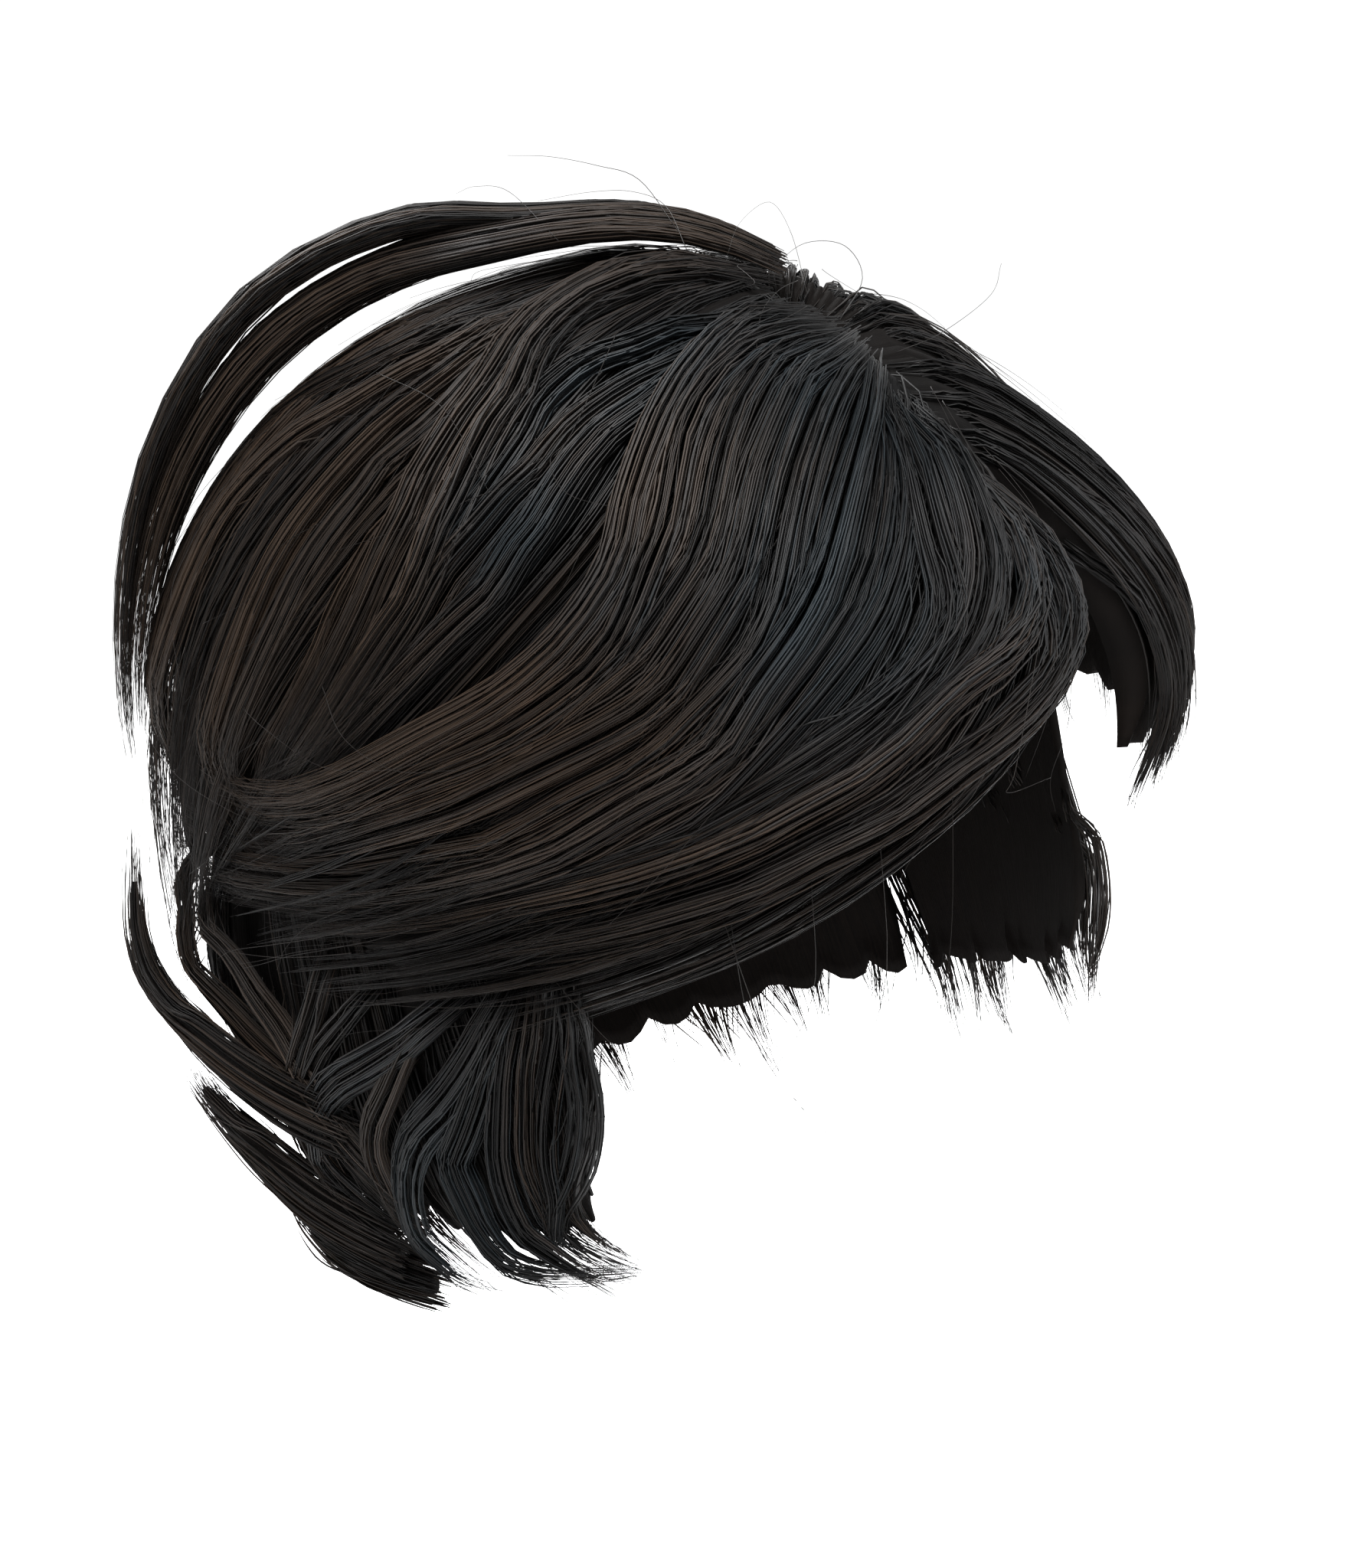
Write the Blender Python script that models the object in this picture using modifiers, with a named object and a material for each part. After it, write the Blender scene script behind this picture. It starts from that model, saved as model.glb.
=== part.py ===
"""A short layered wig in its worn shape: a fitted cap with an open head hollow, and
separate hair sections that leave the cap from a side parting and lie over it in layers.

Metres, +Z up. The wearer faces -Y and the wearer's left is +X. The origin is the top of
the head hollow, where the crown of a head bears on the inside of the cap.

Places on the head are given as a longitude (0 is the forehead, positive towards the
wearer's left, 180 is the back), a latitude (90 is the crown, 0 is the widest ring, and
below that each degree is DROP metres down) and a lift off the head.
"""

import math

import bmesh
import bpy
from mathutils import Vector

# ---- driving sizes -------------------------------------------------------------------
HALF_BREADTH = 0.076  # head hollow, ear to ear
HALF_LENGTH = 0.096  # head hollow, forehead to back
HALF_HEIGHT = 0.086  # crown down to the widest ring
DROP = 0.0015  # height of one degree of latitude below the widest ring
SIDE_TAPER, NAPE_TAPER = 0.10, 0.36  # how far the hollow draws in 90 mm below that ring

CAP_WALL = 0.0015
CAP_RINGS, CAP_SPOKES = 8, 36
CAP_CLEARANCE = 2.6  # lift (mm) of the inner face of hair that lies on the cap
SEAM = 0.0022  # between neighbouring sections
TIP_DEPTH = 1.6  # thickness (mm) left at the very tips
FACETS_PER_LOCK = 3

# The lower layers start under the upper ones. The upper ones keep this lift (mm) over
# the ears and nape, reached between these two latitudes, and only to the sides of the
# face, from the first to the second longitude.
OVERLAP_LIFT, OVERLAP_LAT, OVERLAP_LON = 9.6, (15.0, 4.0), (44.0, 57.0)

# Where the edge of the cap runs: longitude of the spoke, latitude of the edge.
CAP_EDGE = (
    dict(lon=0, lat=30),
    dict(lon=35, lat=26),
    dict(lon=60, lat=12),
    dict(lon=74, lat=-12),
    dict(lon=84, lat=-14),
    dict(lon=96, lat=2),
    dict(lon=112, lat=-8),
    dict(lon=140, lat=-30),
    dict(lon=180, lat=-34),
)

# Flow lines that two neighbouring sections share, each (longitude, latitude) at root,
# upper, middle, lower and tip.
TEMPLE_LINE = ((33, 64), (-26, 55), (-52, 33), (-78, 11), (-108, -4))
BACK_LEFT_LINE = ((61, 66), (106, 57), (121, 39), (128, 17), (130, -11))
LEFT_TEMPLE_LINE = ((41, 57), (62, 41), (69, 19), (69, 3), (64, -10))
BEHIND_RIGHT_EAR = ((-107, 2), (-105, -19), (-101, -37), (-97, -51), (-91, -64))
BEHIND_LEFT_EAR = ((107, 2), (105, -19), (101, -37), (96, -51), (91, -63))

# Each hair section is swept along its rows, the flow lines from root to tip. lift is
# the lift (mm) of the outer face on that row, and depth the thickness (mm) of the
# section under it, both at the five stations. locks is the number of locks side by
# side, notch how deep the tips are cut between them, ragged how much their lengths
# differ, groove how deep the furrows between the locks are, and along how many facets a
# lock has from root to tip.
SECTIONS = {
    "crown_hair": dict(
        depth=(14, 14, 14, 11, 7), locks=11, notch=0.14, ragged=0.08, groove=0.26, along=12,
        colour="hair_dark",
        rows=(
            dict(lift=(13, 15, 15.5, 17, 18), line=TEMPLE_LINE),
            dict(lift=(14, 14, 15.5, 18.5, 23), line=((34, 70), (-52, 63), (-78, 42), (-95, 16), (-114, -13))),
            dict(lift=(14, 12, 14.5, 20.5, 28), line=((40, 75), (-92, 76), (-108, 50), (-116, 22), (-123, -20))),
            dict(lift=(14, 11, 14.5, 20.5, 27), line=((51, 77), (-158, 78), (-144, 52), (-142, 20), (-143, -22))),
            dict(lift=(14, 13, 16.5, 20.0, 23), line=((62, 76), (166, 75), (-178, 50), (-174, 19), (-174, -20))),
            dict(lift=(14, 15, 17.5, 19.0, 20), line=((66, 71), (134, 67), (150, 44), (153, 18), (154, -16))),
            dict(lift=(15, 16, 17.0, 18.0, 18), line=BACK_LEFT_LINE),
        ),
    ),
    "fringe": dict(
        depth=(14, 14, 13, 9, 5), locks=9, notch=0.07, ragged=0.05, groove=0.26, along=12,
        colour="hair_brown",
        rows=(
            dict(lift=(13, 15, 15.5, 17, 18), line=TEMPLE_LINE),
            dict(lift=(12, 14.5, 15, 16.5, 17.5), line=((28, 57), (-20, 44), (-44, 22), (-73, 3), (-105, -10))),
            dict(lift=(11, 14, 14.5, 15.5, 17), line=((23, 51), (-13, 34), (-37, 12), (-67, -5), (-98, -15))),
            dict(lift=(11, 13, 13.5, 14.5, 16), line=((18, 45), (2, 26), (-21, 5), (-51, -11), (-82, -19))),
            dict(lift=(10, 12, 12.5, 12.5, 13.5), line=((15, 38), (17, 23), (9, 9), (-25, -8), (-61, -21))),
        ),
    ),
    "left_fringe": dict(
        depth=(14, 15, 20, 16, 9), locks=4, notch=0.10, ragged=0.05, groove=0.22, along=12,
        colour="hair_dark",
        rows=(
            dict(lift=(11, 15, 19, 18, 12), line=((19, 38), (25, 24), (29, 9), (30, -2), (27, -12))),
            dict(lift=(11, 16.5, 24.5, 22, 15), line=((28, 47), (40, 31), (44, 12), (44, -1), (38, -12))),
            dict(lift=(12.5, 15.5, 19, 18, 15), line=LEFT_TEMPLE_LINE),
        ),
    ),
    "left_side_hair": dict(
        depth=(14, 14, 14, 10, 6), locks=6, notch=0.12, ragged=0.06, groove=0.26, along=12,
        colour="hair_brown",
        rows=(
            dict(lift=(12.5, 15.5, 19, 18, 15), line=LEFT_TEMPLE_LINE),
            dict(lift=(14.5, 16, 17, 17.5, 16), line=((51, 62), (84, 49), (93, 28), (96, 8), (94, -11))),
            dict(lift=(15, 16, 17, 18, 18), line=BACK_LEFT_LINE),
        ),
    ),
    "right_sideburn": dict(
        depth=(7, 8, 10, 10, 6), locks=5, notch=0.16, ragged=0.10, groove=0.26, along=11,
        colour="hair_dark",
        rows=(
            dict(lift=(8.4, 8.8, 11, 12.5, 11), line=((-62, -8), (-60, -22), (-60, -34), (-64, -44), (-64, -52))),
            dict(lift=(8.6, 9.2, 12, 14, 13), line=((-74, -1), (-72, -19), (-69, -36), (-67, -49), (-56, -56))),
            dict(lift=(8.6, 9.6, 13, 14.5, 12), line=((-89, 2), (-87, -17), (-84, -36), (-80, -51), (-71, -61))),
            dict(lift=(8.8, 11.5, 16, 15, 10.5), line=BEHIND_RIGHT_EAR),
        ),
    ),
    "left_sideburn": dict(
        depth=(7, 8, 10, 10, 6), locks=5, notch=0.16, ragged=0.10, groove=0.26, along=11,
        colour="hair_dark",
        rows=(
            dict(lift=(8.4, 8.8, 10.5, 11.5, 10), line=((63, -5), (61, -18), (60, -29), (63, -41), (66, -50))),
            dict(lift=(8.6, 9.2, 11.5, 12.5, 11), line=((76, 0), (75, -17), (73, -33), (73, -46), (66, -56))),
            dict(lift=(8.6, 9.6, 12.5, 13.0, 11), line=((90, 2), (89, -17), (87, -34), (84, -48), (78, -60))),
            dict(lift=(8.6, 11, 13.5, 13.5, 10), line=BEHIND_LEFT_EAR),
        ),
    ),
    "nape_hair": dict(
        depth=(7, 16, 14, 10, 6), locks=9, notch=0.20, ragged=0.12, groove=0.26, along=11,
        colour="hair_dark",
        rows=(
            dict(lift=(8.8, 11.5, 16, 15, 10.5), line=BEHIND_RIGHT_EAR),
            dict(lift=(8.8, 22.5, 19.5, 13, 9), line=((-127, 2), (-126, -24), (-124, -41), (-121, -56), (-116, -68))),
            dict(lift=(8.8, 16, 18, 14, 10), line=((-154, 2), (-153, -24), (-152, -43), (-150, -58), (-148, -71))),
            dict(lift=(8.8, 15, 18, 15, 11), line=((180, 2), (180, -24), (180, -44), (180, -59), (180, -72))),
            dict(lift=(8.8, 14, 17, 15, 11), line=((154, 2), (153, -24), (152, -43), (150, -58), (148, -71))),
            dict(lift=(8.8, 12, 15, 14, 10), line=((127, 2), (126, -23), (124, -41), (121, -56), (116, -67))),
            dict(lift=(8.6, 11, 13.5, 13.5, 10), line=BEHIND_LEFT_EAR),
        ),
    ),
}

# A lock that stands off the rest is a tapering oval band along one flow line, given as
# (longitude, latitude, lift in mm) from root to tip. width and depth are its largest,
# in mm. sides and along are its facets round and from root to tip.
LOCKS = {
    "raised_lock_upper": dict(
        width=15.0, depth=6.4, sides=8, along=18, colour="hair_dark",
        path=((63, 79, 17.8), (-168, 83, 20.6), (-141, 72, 28.0), (-132, 55, 33.4), (-129, 37, 31.6), (-126, 20, 28.2), (-124, 5, 27.2)),
    ),
    "raised_lock_lower": dict(
        width=16.0, depth=7.0, sides=8, along=18, colour="hair_brown",
        path=((35, 81, 17.6), (-125, 82, 17.9), (-139, 68, 21.6), (-133, 53, 24.6), (-130, 38, 25.0), (-127, 24, 24.6), (-125, 12, 24.4)),
    ),
    "nape_flick_upper": dict(
        width=15.0, depth=5.4, sides=8, along=12, colour="hair_dark",
        path=((-112, -42, 19.5), (-117, -35, 22.5), (-119, -26, 29.0), (-119, -18, 33.0), (-120, -9, 31.5)),
    ),
    "nape_flick_middle": dict(
        width=15.0, depth=6.0, sides=8, along=12, colour="hair_brown",
        path=((-104, -57, 18.5), (-110, -53, 20.0), (-114, -47, 24.5), (-116, -40, 29.0), (-117, -33, 31.5)),
    ),
    "nape_flick_lower": dict(
        width=14.0, depth=6.0, sides=8, along=12, colour="hair_dark",
        path=((-97, -66, 13.5), (-104, -65, 13.5), (-109, -62, 16.0), (-113, -58, 19.0), (-115, -54, 21.0)),
    ),
}

COLOURS = {
    "cap_mesh": dict(rgb=(0.016, 0.014, 0.013), rough=0.85),
    "hair_dark": dict(rgb=(0.012, 0.010, 0.009), rough=0.42),
    "hair_brown": dict(rgb=(0.030, 0.021, 0.016), rough=0.42),
}

HEAD_MIDDLE = Vector((0.0, 0.0, -HALF_HEIGHT))


# ---- the head form -------------------------------------------------------------------
def hollow_size(lon, below):
    """Half breadth and half length of the hollow this far below the widest ring."""
    depth = below / 0.09
    backwards = max(0.0, -math.cos(lon))
    return (
        HALF_BREADTH * (1.0 - SIDE_TAPER * depth ** 2),
        HALF_LENGTH * (1.0 - NAPE_TAPER * backwards * depth ** 1.5),
    )


def on_head(lon_deg, lat_deg, lift=0.0):
    """The point at this longitude and latitude, lift metres off the head."""
    lon, lat = math.radians(lon_deg), math.radians(max(lat_deg, 0.0))
    below = max(0.0, -lat_deg) * DROP
    breadth, length = hollow_size(lon, below)
    return Vector((
        (breadth + lift) * math.cos(lat) * math.sin(lon),
        -(length + lift) * math.cos(lat) * math.cos(lon),
        -HALF_HEIGHT + (HALF_HEIGHT + lift) * math.sin(lat) - below,
    ))


def angles_of(point):
    """Longitude and latitude of a point on or near the head, in degrees."""
    above = point.z + HALF_HEIGHT
    if above >= 0.0:
        q = Vector((point.x / HALF_BREADTH, -point.y / HALF_LENGTH, above / HALF_HEIGHT)).normalized()
        return math.degrees(math.atan2(q.x, q.y)), math.degrees(math.asin(max(-1.0, min(1.0, q.z))))
    lon = math.atan2(point.x, -point.y)
    for _ in range(4):
        breadth, length = hollow_size(lon, -above)
        lon = math.atan2(point.x / breadth, -point.y / length)
    return math.degrees(lon), above / DROP


# ---- curves and profiles -------------------------------------------------------------
def spline(points, t):
    """A smooth curve through the points, t from 0 to 1; the points may be numbers."""
    last = len(points) - 1
    s = min(max(t, 0.0), 1.0) * last
    i = min(int(s), last - 1)
    f = s - i
    b, c = points[i], points[i + 1]
    a = points[i - 1] if i else b * 2 - c
    d = points[i + 2] if i + 2 <= last else c * 2 - b
    return 0.5 * (2 * b + (c - a) * f + (2 * a - 5 * b + 4 * c - d) * f ** 2 + (3 * b - a - 3 * c + d) * f ** 3)


def smooth_step(low, high, value):
    f = min(1.0, max(0.0, (value - low) / (high - low)))
    return f * f * (3 - 2 * f)


def edge_latitude(lon):
    """Latitude of the cap's edge at a longitude, smooth between the rows of CAP_EDGE."""
    lon = abs((lon + 180.0) % 360.0 - 180.0)
    for near, far in zip(CAP_EDGE, CAP_EDGE[1:]):
        if lon <= far["lon"]:
            return near["lat"] + (far["lat"] - near["lat"]) * smooth_step(near["lon"], far["lon"], lon)
    return CAP_EDGE[-1]["lat"]


def overlap_lift(lon, lat):
    """The lift (mm) that an upper layer keeps for the layer that starts under it."""
    down = smooth_step(-OVERLAP_LAT[0], -OVERLAP_LAT[1], -lat)
    return OVERLAP_LIFT * down * smooth_step(*OVERLAP_LON, abs(lon))


def lock_shape(u, locks):
    """0 in the furrow between two locks, 1 along the middle of a lock."""
    return abs(math.sin(math.pi * locks * u)) ** 0.7


# ---- building ------------------------------------------------------------------------
def material(name):
    made = bpy.data.materials.get(name)
    if made is None:
        made = bpy.data.materials.new(name)
        made.use_nodes = True
        shader = made.node_tree.nodes["Principled BSDF"]
        shader.inputs["Base Color"].default_value = (*COLOURS[name]["rgb"], 1.0)
        shader.inputs["Roughness"].default_value = COLOURS[name]["rough"]
        shader.inputs["Metallic"].default_value = 0.0
    return made


def finish_mesh(name, bm, colour, collection):
    """Turns a bmesh into a smooth-shaded object in the collection."""
    mesh = bpy.data.meshes.new(name)
    bm.to_mesh(mesh)
    bm.free()
    mesh.materials.append(material(colour))
    mesh.shade_smooth()
    mesh.set_sharp_from_angle(angle=math.radians(50))
    obj = bpy.data.objects.new(name, mesh)
    collection.objects.link(obj)
    return obj


def build_cap(collection):
    """The cap: a dome whose edge runs over the ears and down to the nape."""
    bm = bmesh.new()
    bmesh.ops.create_uvsphere(bm, u_segments=CAP_SPOKES, v_segments=2 * CAP_RINGS, radius=1.0)
    bmesh.ops.delete(bm, geom=[v for v in bm.verts if v.co.z < -0.01], context="VERTS")
    for vert in bm.verts:
        lon = math.degrees(math.atan2(vert.co.x, -vert.co.y))
        share = math.degrees(math.acos(max(-1.0, min(1.0, vert.co.z)))) / 90.0
        vert.co = on_head(lon, 90.0 - share * (90.0 - edge_latitude(lon)))
    bm.normal_update()
    if sum(f.normal.dot(f.calc_center_median() - HEAD_MIDDLE) for f in bm.faces) < 0:
        bmesh.ops.reverse_faces(bm, faces=bm.faces)
    cap = finish_mesh("cap", bm, "cap_mesh", collection)
    wall = cap.modifiers.new("wall", "SOLIDIFY")
    wall.thickness, wall.offset = CAP_WALL, 1.0


def build_section(name, spec, under, collection):
    """A hair section: a loft of ridged bands, one band for each place along the flow.

    under is True for a layer that starts beneath the upper ones.
    """
    rows = [[on_head(*place) for place in row["line"]] for row in spec["rows"]]
    locks, across, along = spec["locks"], spec["locks"] * FACETS_PER_LOCK, spec["along"]

    def flow(u, t):
        return spline([spline(row, t) for row in rows], u)

    def cut_back(u):
        """Tips are cut back in the furrows, and no two neighbouring locks are as long."""
        lock = min(int(u * locks), locks - 1)
        return spec["notch"] * (1.0 - lock_shape(u, locks)) + spec["ragged"] * math.sin(2.4 * lock + 1.0) ** 2

    def corners(u, t):
        """The inner and the outer point at this place."""
        t_cut = t * (1.0 - cut_back(u) * t * t)
        width = sum((flow((i + 1) / 8, t_cut) - flow(i / 8, t_cut)).length for i in range(8))
        inset = min(0.2, 0.5 * SEAM / width)
        lon, lat = angles_of(flow(inset + (1 - 2 * inset) * u, t_cut))
        high = spline([spline(row["lift"], t_cut) for row in spec["rows"]], u)
        low = max(high - spline(spec["depth"], t_cut), CAP_CLEARANCE)
        if not under:
            low = max(low, overlap_lift(lon, lat))
        depth = max(high - low, TIP_DEPTH)
        ridge = 1.0 - spec["groove"] * (1.0 - lock_shape(u, locks))
        taper = 1.0 - 0.7 * smooth_step(0.78, 1.0, t)
        depth = max(depth * ridge * taper, TIP_DEPTH)
        low = low + (high - low - depth) * smooth_step(0.70, 1.0, t) * 0.5
        return on_head(lon, lat, low / 1000.0), on_head(lon, lat, (low + depth) / 1000.0)

    bm = bmesh.new()
    rings = []
    for j in range(along + 1):
        pairs = [corners(i / across, j / along) for i in range(across + 1)]
        rings.append(([bm.verts.new(p[0]) for p in pairs], [bm.verts.new(p[1]) for p in pairs]))
    for (inner_a, outer_a), (inner_b, outer_b) in zip(rings, rings[1:]):
        for i in range(across):
            bm.faces.new((outer_a[i], outer_a[i + 1], outer_b[i + 1], outer_b[i]))
            bm.faces.new((inner_b[i], inner_b[i + 1], inner_a[i + 1], inner_a[i]))
        for i, flip in ((0, False), (across, True)):
            side = (inner_a[i], outer_a[i], outer_b[i], inner_b[i])
            bm.faces.new(side[::-1] if flip else side)
    for (inner, outer), flip in ((rings[0], False), (rings[-1], True)):
        for i in range(across):
            end = (inner[i], inner[i + 1], outer[i + 1], outer[i])
            bm.faces.new(end[::-1] if flip else end)
    if bm.calc_volume(signed=True) < 0:
        bmesh.ops.reverse_faces(bm, faces=bm.faces)
    finish_mesh(name, bm, spec["colour"], collection)


def build_lock(name, spec, collection):
    """A standing lock: a tube whose rings are moved to oval sections along its path."""
    path = [on_head(lon, lat) for lon, lat, _ in spec["path"]]
    lifts = [lift / 1000.0 for _, _, lift in spec["path"]]

    def centre(t):
        return on_head(*angles_of(spline(path, t)), spline(lifts, t))

    def place(u, t):
        way = (centre(min(1.0, t + 0.02)) - centre(max(0.0, t - 0.02))).normalized()
        side = way.cross(centre(t) - HEAD_MIDDLE).normalized()
        out = side.cross(way).normalized()
        taper = max(0.12, math.sin(math.pi * (0.08 + 0.84 * t)) ** 0.6 * (1.0 - 0.4 * t))
        turn = 2 * math.pi * u
        across = side * (math.cos(turn) * spec["width"] / 2000.0)
        through = out * (math.sin(turn) * spec["depth"] / 2000.0)
        return centre(t) + (across + through) * taper

    bm = bmesh.new()
    bmesh.ops.create_cone(bm, cap_ends=True, segments=spec["sides"], radius1=1.0, radius2=1.0, depth=1.0)
    tall = [e for e in bm.edges if abs(e.verts[0].co.z - e.verts[1].co.z) > 0.5]
    bmesh.ops.subdivide_edges(bm, edges=tall, cuts=spec["along"] - 1)
    for vert in bm.verts:
        u = math.atan2(vert.co.y, vert.co.x) / (2 * math.pi)
        vert.co = place(u, vert.co.z + 0.5)
    if bm.calc_volume(signed=True) < 0:
        bmesh.ops.reverse_faces(bm, faces=bm.faces)
    finish_mesh(name, bm, spec["colour"], collection)


def main():
    for obj in list(bpy.data.objects):
        bpy.data.objects.remove(obj)
    collection = bpy.data.collections.new("wig")
    bpy.context.scene.collection.children.link(collection)
    build_cap(collection)
    for name, spec in SECTIONS.items():
        build_section(name, spec, name in ("right_sideburn", "left_sideburn", "nape_hair"), collection)
    for name, spec in LOCKS.items():
        build_lock(name, spec, collection)


main()
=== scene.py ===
"""Looks of the short layered wig: every section is grown as locks of separate strands.

Lengths in the tables are millimetres, and meshes are made in metres. A place on the head
is a longitude (0 is the forehead, positive to the wearer's left), a latitude (90 is the
crown, 0 the widest ring) and a lift off the head form.
"""
import math

import bpy
import numpy as np
from mathutils import Matrix, Vector


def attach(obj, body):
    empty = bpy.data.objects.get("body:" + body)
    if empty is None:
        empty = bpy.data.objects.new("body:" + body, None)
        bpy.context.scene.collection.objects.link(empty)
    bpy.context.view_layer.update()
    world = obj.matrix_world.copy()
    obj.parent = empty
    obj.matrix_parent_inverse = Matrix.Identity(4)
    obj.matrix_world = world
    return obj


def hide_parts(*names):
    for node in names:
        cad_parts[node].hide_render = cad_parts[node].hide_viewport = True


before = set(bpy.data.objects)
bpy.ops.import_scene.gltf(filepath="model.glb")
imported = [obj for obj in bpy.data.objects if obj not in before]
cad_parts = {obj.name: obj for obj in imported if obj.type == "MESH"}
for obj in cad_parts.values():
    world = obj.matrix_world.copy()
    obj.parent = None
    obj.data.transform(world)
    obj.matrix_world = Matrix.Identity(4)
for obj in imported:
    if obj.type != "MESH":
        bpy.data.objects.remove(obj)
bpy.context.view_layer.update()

# ---- head form, the same as the hollow of the cap --------------------------------------
HB, HL, HH, DROP = 76.0, 96.0, 86.0, 1.5


def form(lon, lat):
    """Point on the head and the outward direction that lift is counted along."""
    lo, la = np.radians(lon), np.radians(np.maximum(lat, 0.0))
    below = np.maximum(0.0, -lat) * DROP
    u = below / 90.0
    hb = HB * (1.0 - 0.10 * u ** 2)
    hl = HL * (1.0 - 0.36 * np.clip(-np.cos(lo), 0, 1) * u ** 1.5)
    a = np.stack([hb * np.cos(la) * np.sin(lo), -hl * np.cos(la) * np.cos(lo), -HH + HH * np.sin(la) - below], -1)
    b = np.stack([np.cos(la) * np.sin(lo), -np.cos(la) * np.cos(lo), np.sin(la)], -1)
    return a, b


def angles(p):
    """Longitude and latitude of points on the head form."""
    x, y, above = p[..., 0], p[..., 1], p[..., 2] + HH
    q = np.stack([x / HB, -y / HL, above / HH], -1)
    q = q / np.linalg.norm(q, axis=-1, keepdims=True)
    lon_up, lat_up = np.arctan2(q[..., 0], q[..., 1]), np.arcsin(np.clip(q[..., 2], -1, 1))
    u = np.maximum(0.0, -above) / 90.0
    hb = HB * (1.0 - 0.10 * u ** 2)
    lon = np.arctan2(x, -y)
    for _ in range(4):
        hl = HL * (1.0 - 0.36 * np.clip(-np.cos(lon), 0, 1) * u ** 1.5)
        lon = np.arctan2(x / hb, -y / hl)
    up = above >= 0
    return np.degrees(np.where(up, lon_up, lon)), np.where(up, np.degrees(lat_up), above / DROP)


def curve(points, t):
    """Catmull-Rom through points[0..n-1] (any trailing shape) at t in 0..1, straight past 1."""
    pts = np.asarray(points, float)
    n = len(pts) - 1
    tc = np.clip(t, 0, 1) * n
    i = np.minimum(tc.astype(int), n - 1)
    f = (tc - i).reshape((-1,) + (1,) * (pts.ndim - 1))
    ext = np.concatenate([[2 * pts[0] - pts[1]], pts, [2 * pts[-1] - pts[-2]]])
    a, b, c, d = ext[i], ext[i + 1], ext[i + 2], ext[i + 3]
    out = 0.5 * (2 * b + (c - a) * f + (2 * a - 5 * b + 4 * c - d) * f ** 2 + (3 * b - a - 3 * c + d) * f ** 3)
    over = np.maximum(0, t - 1).reshape(f.shape) * n
    return out + over * (pts[-1] - pts[-2]) * 0.9


def step(a, b, x):
    f = np.clip((x - a) / (b - a), 0, 1)
    return f * f * (3 - 2 * f)


# ---- the hair sections -----------------------------------------------------------------
# rows: flow lines at root, upper, middle, lower, tip as (longitude, latitude); lift: outer
# lift (mm) on that row at the same stations; depth: thickness of the section (mm).
TEMPLE = ((40, 63), (-26, 55), (-52, 33), (-78, 11), (-108, -4))
BACK_LEFT = ((57, 66), (106, 57), (121, 39), (128, 17), (130, -11))
LEFT_TEMPLE = ((37, 57), (62, 41), (69, 19), (69, 3), (64, -10))
BEHIND_RIGHT = ((-107, 4), (-105, -19), (-101, -37), (-97, -51), (-91, -64))
BEHIND_LEFT = ((107, 4), (105, -19), (101, -37), (96, -51), (91, -63))

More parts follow.
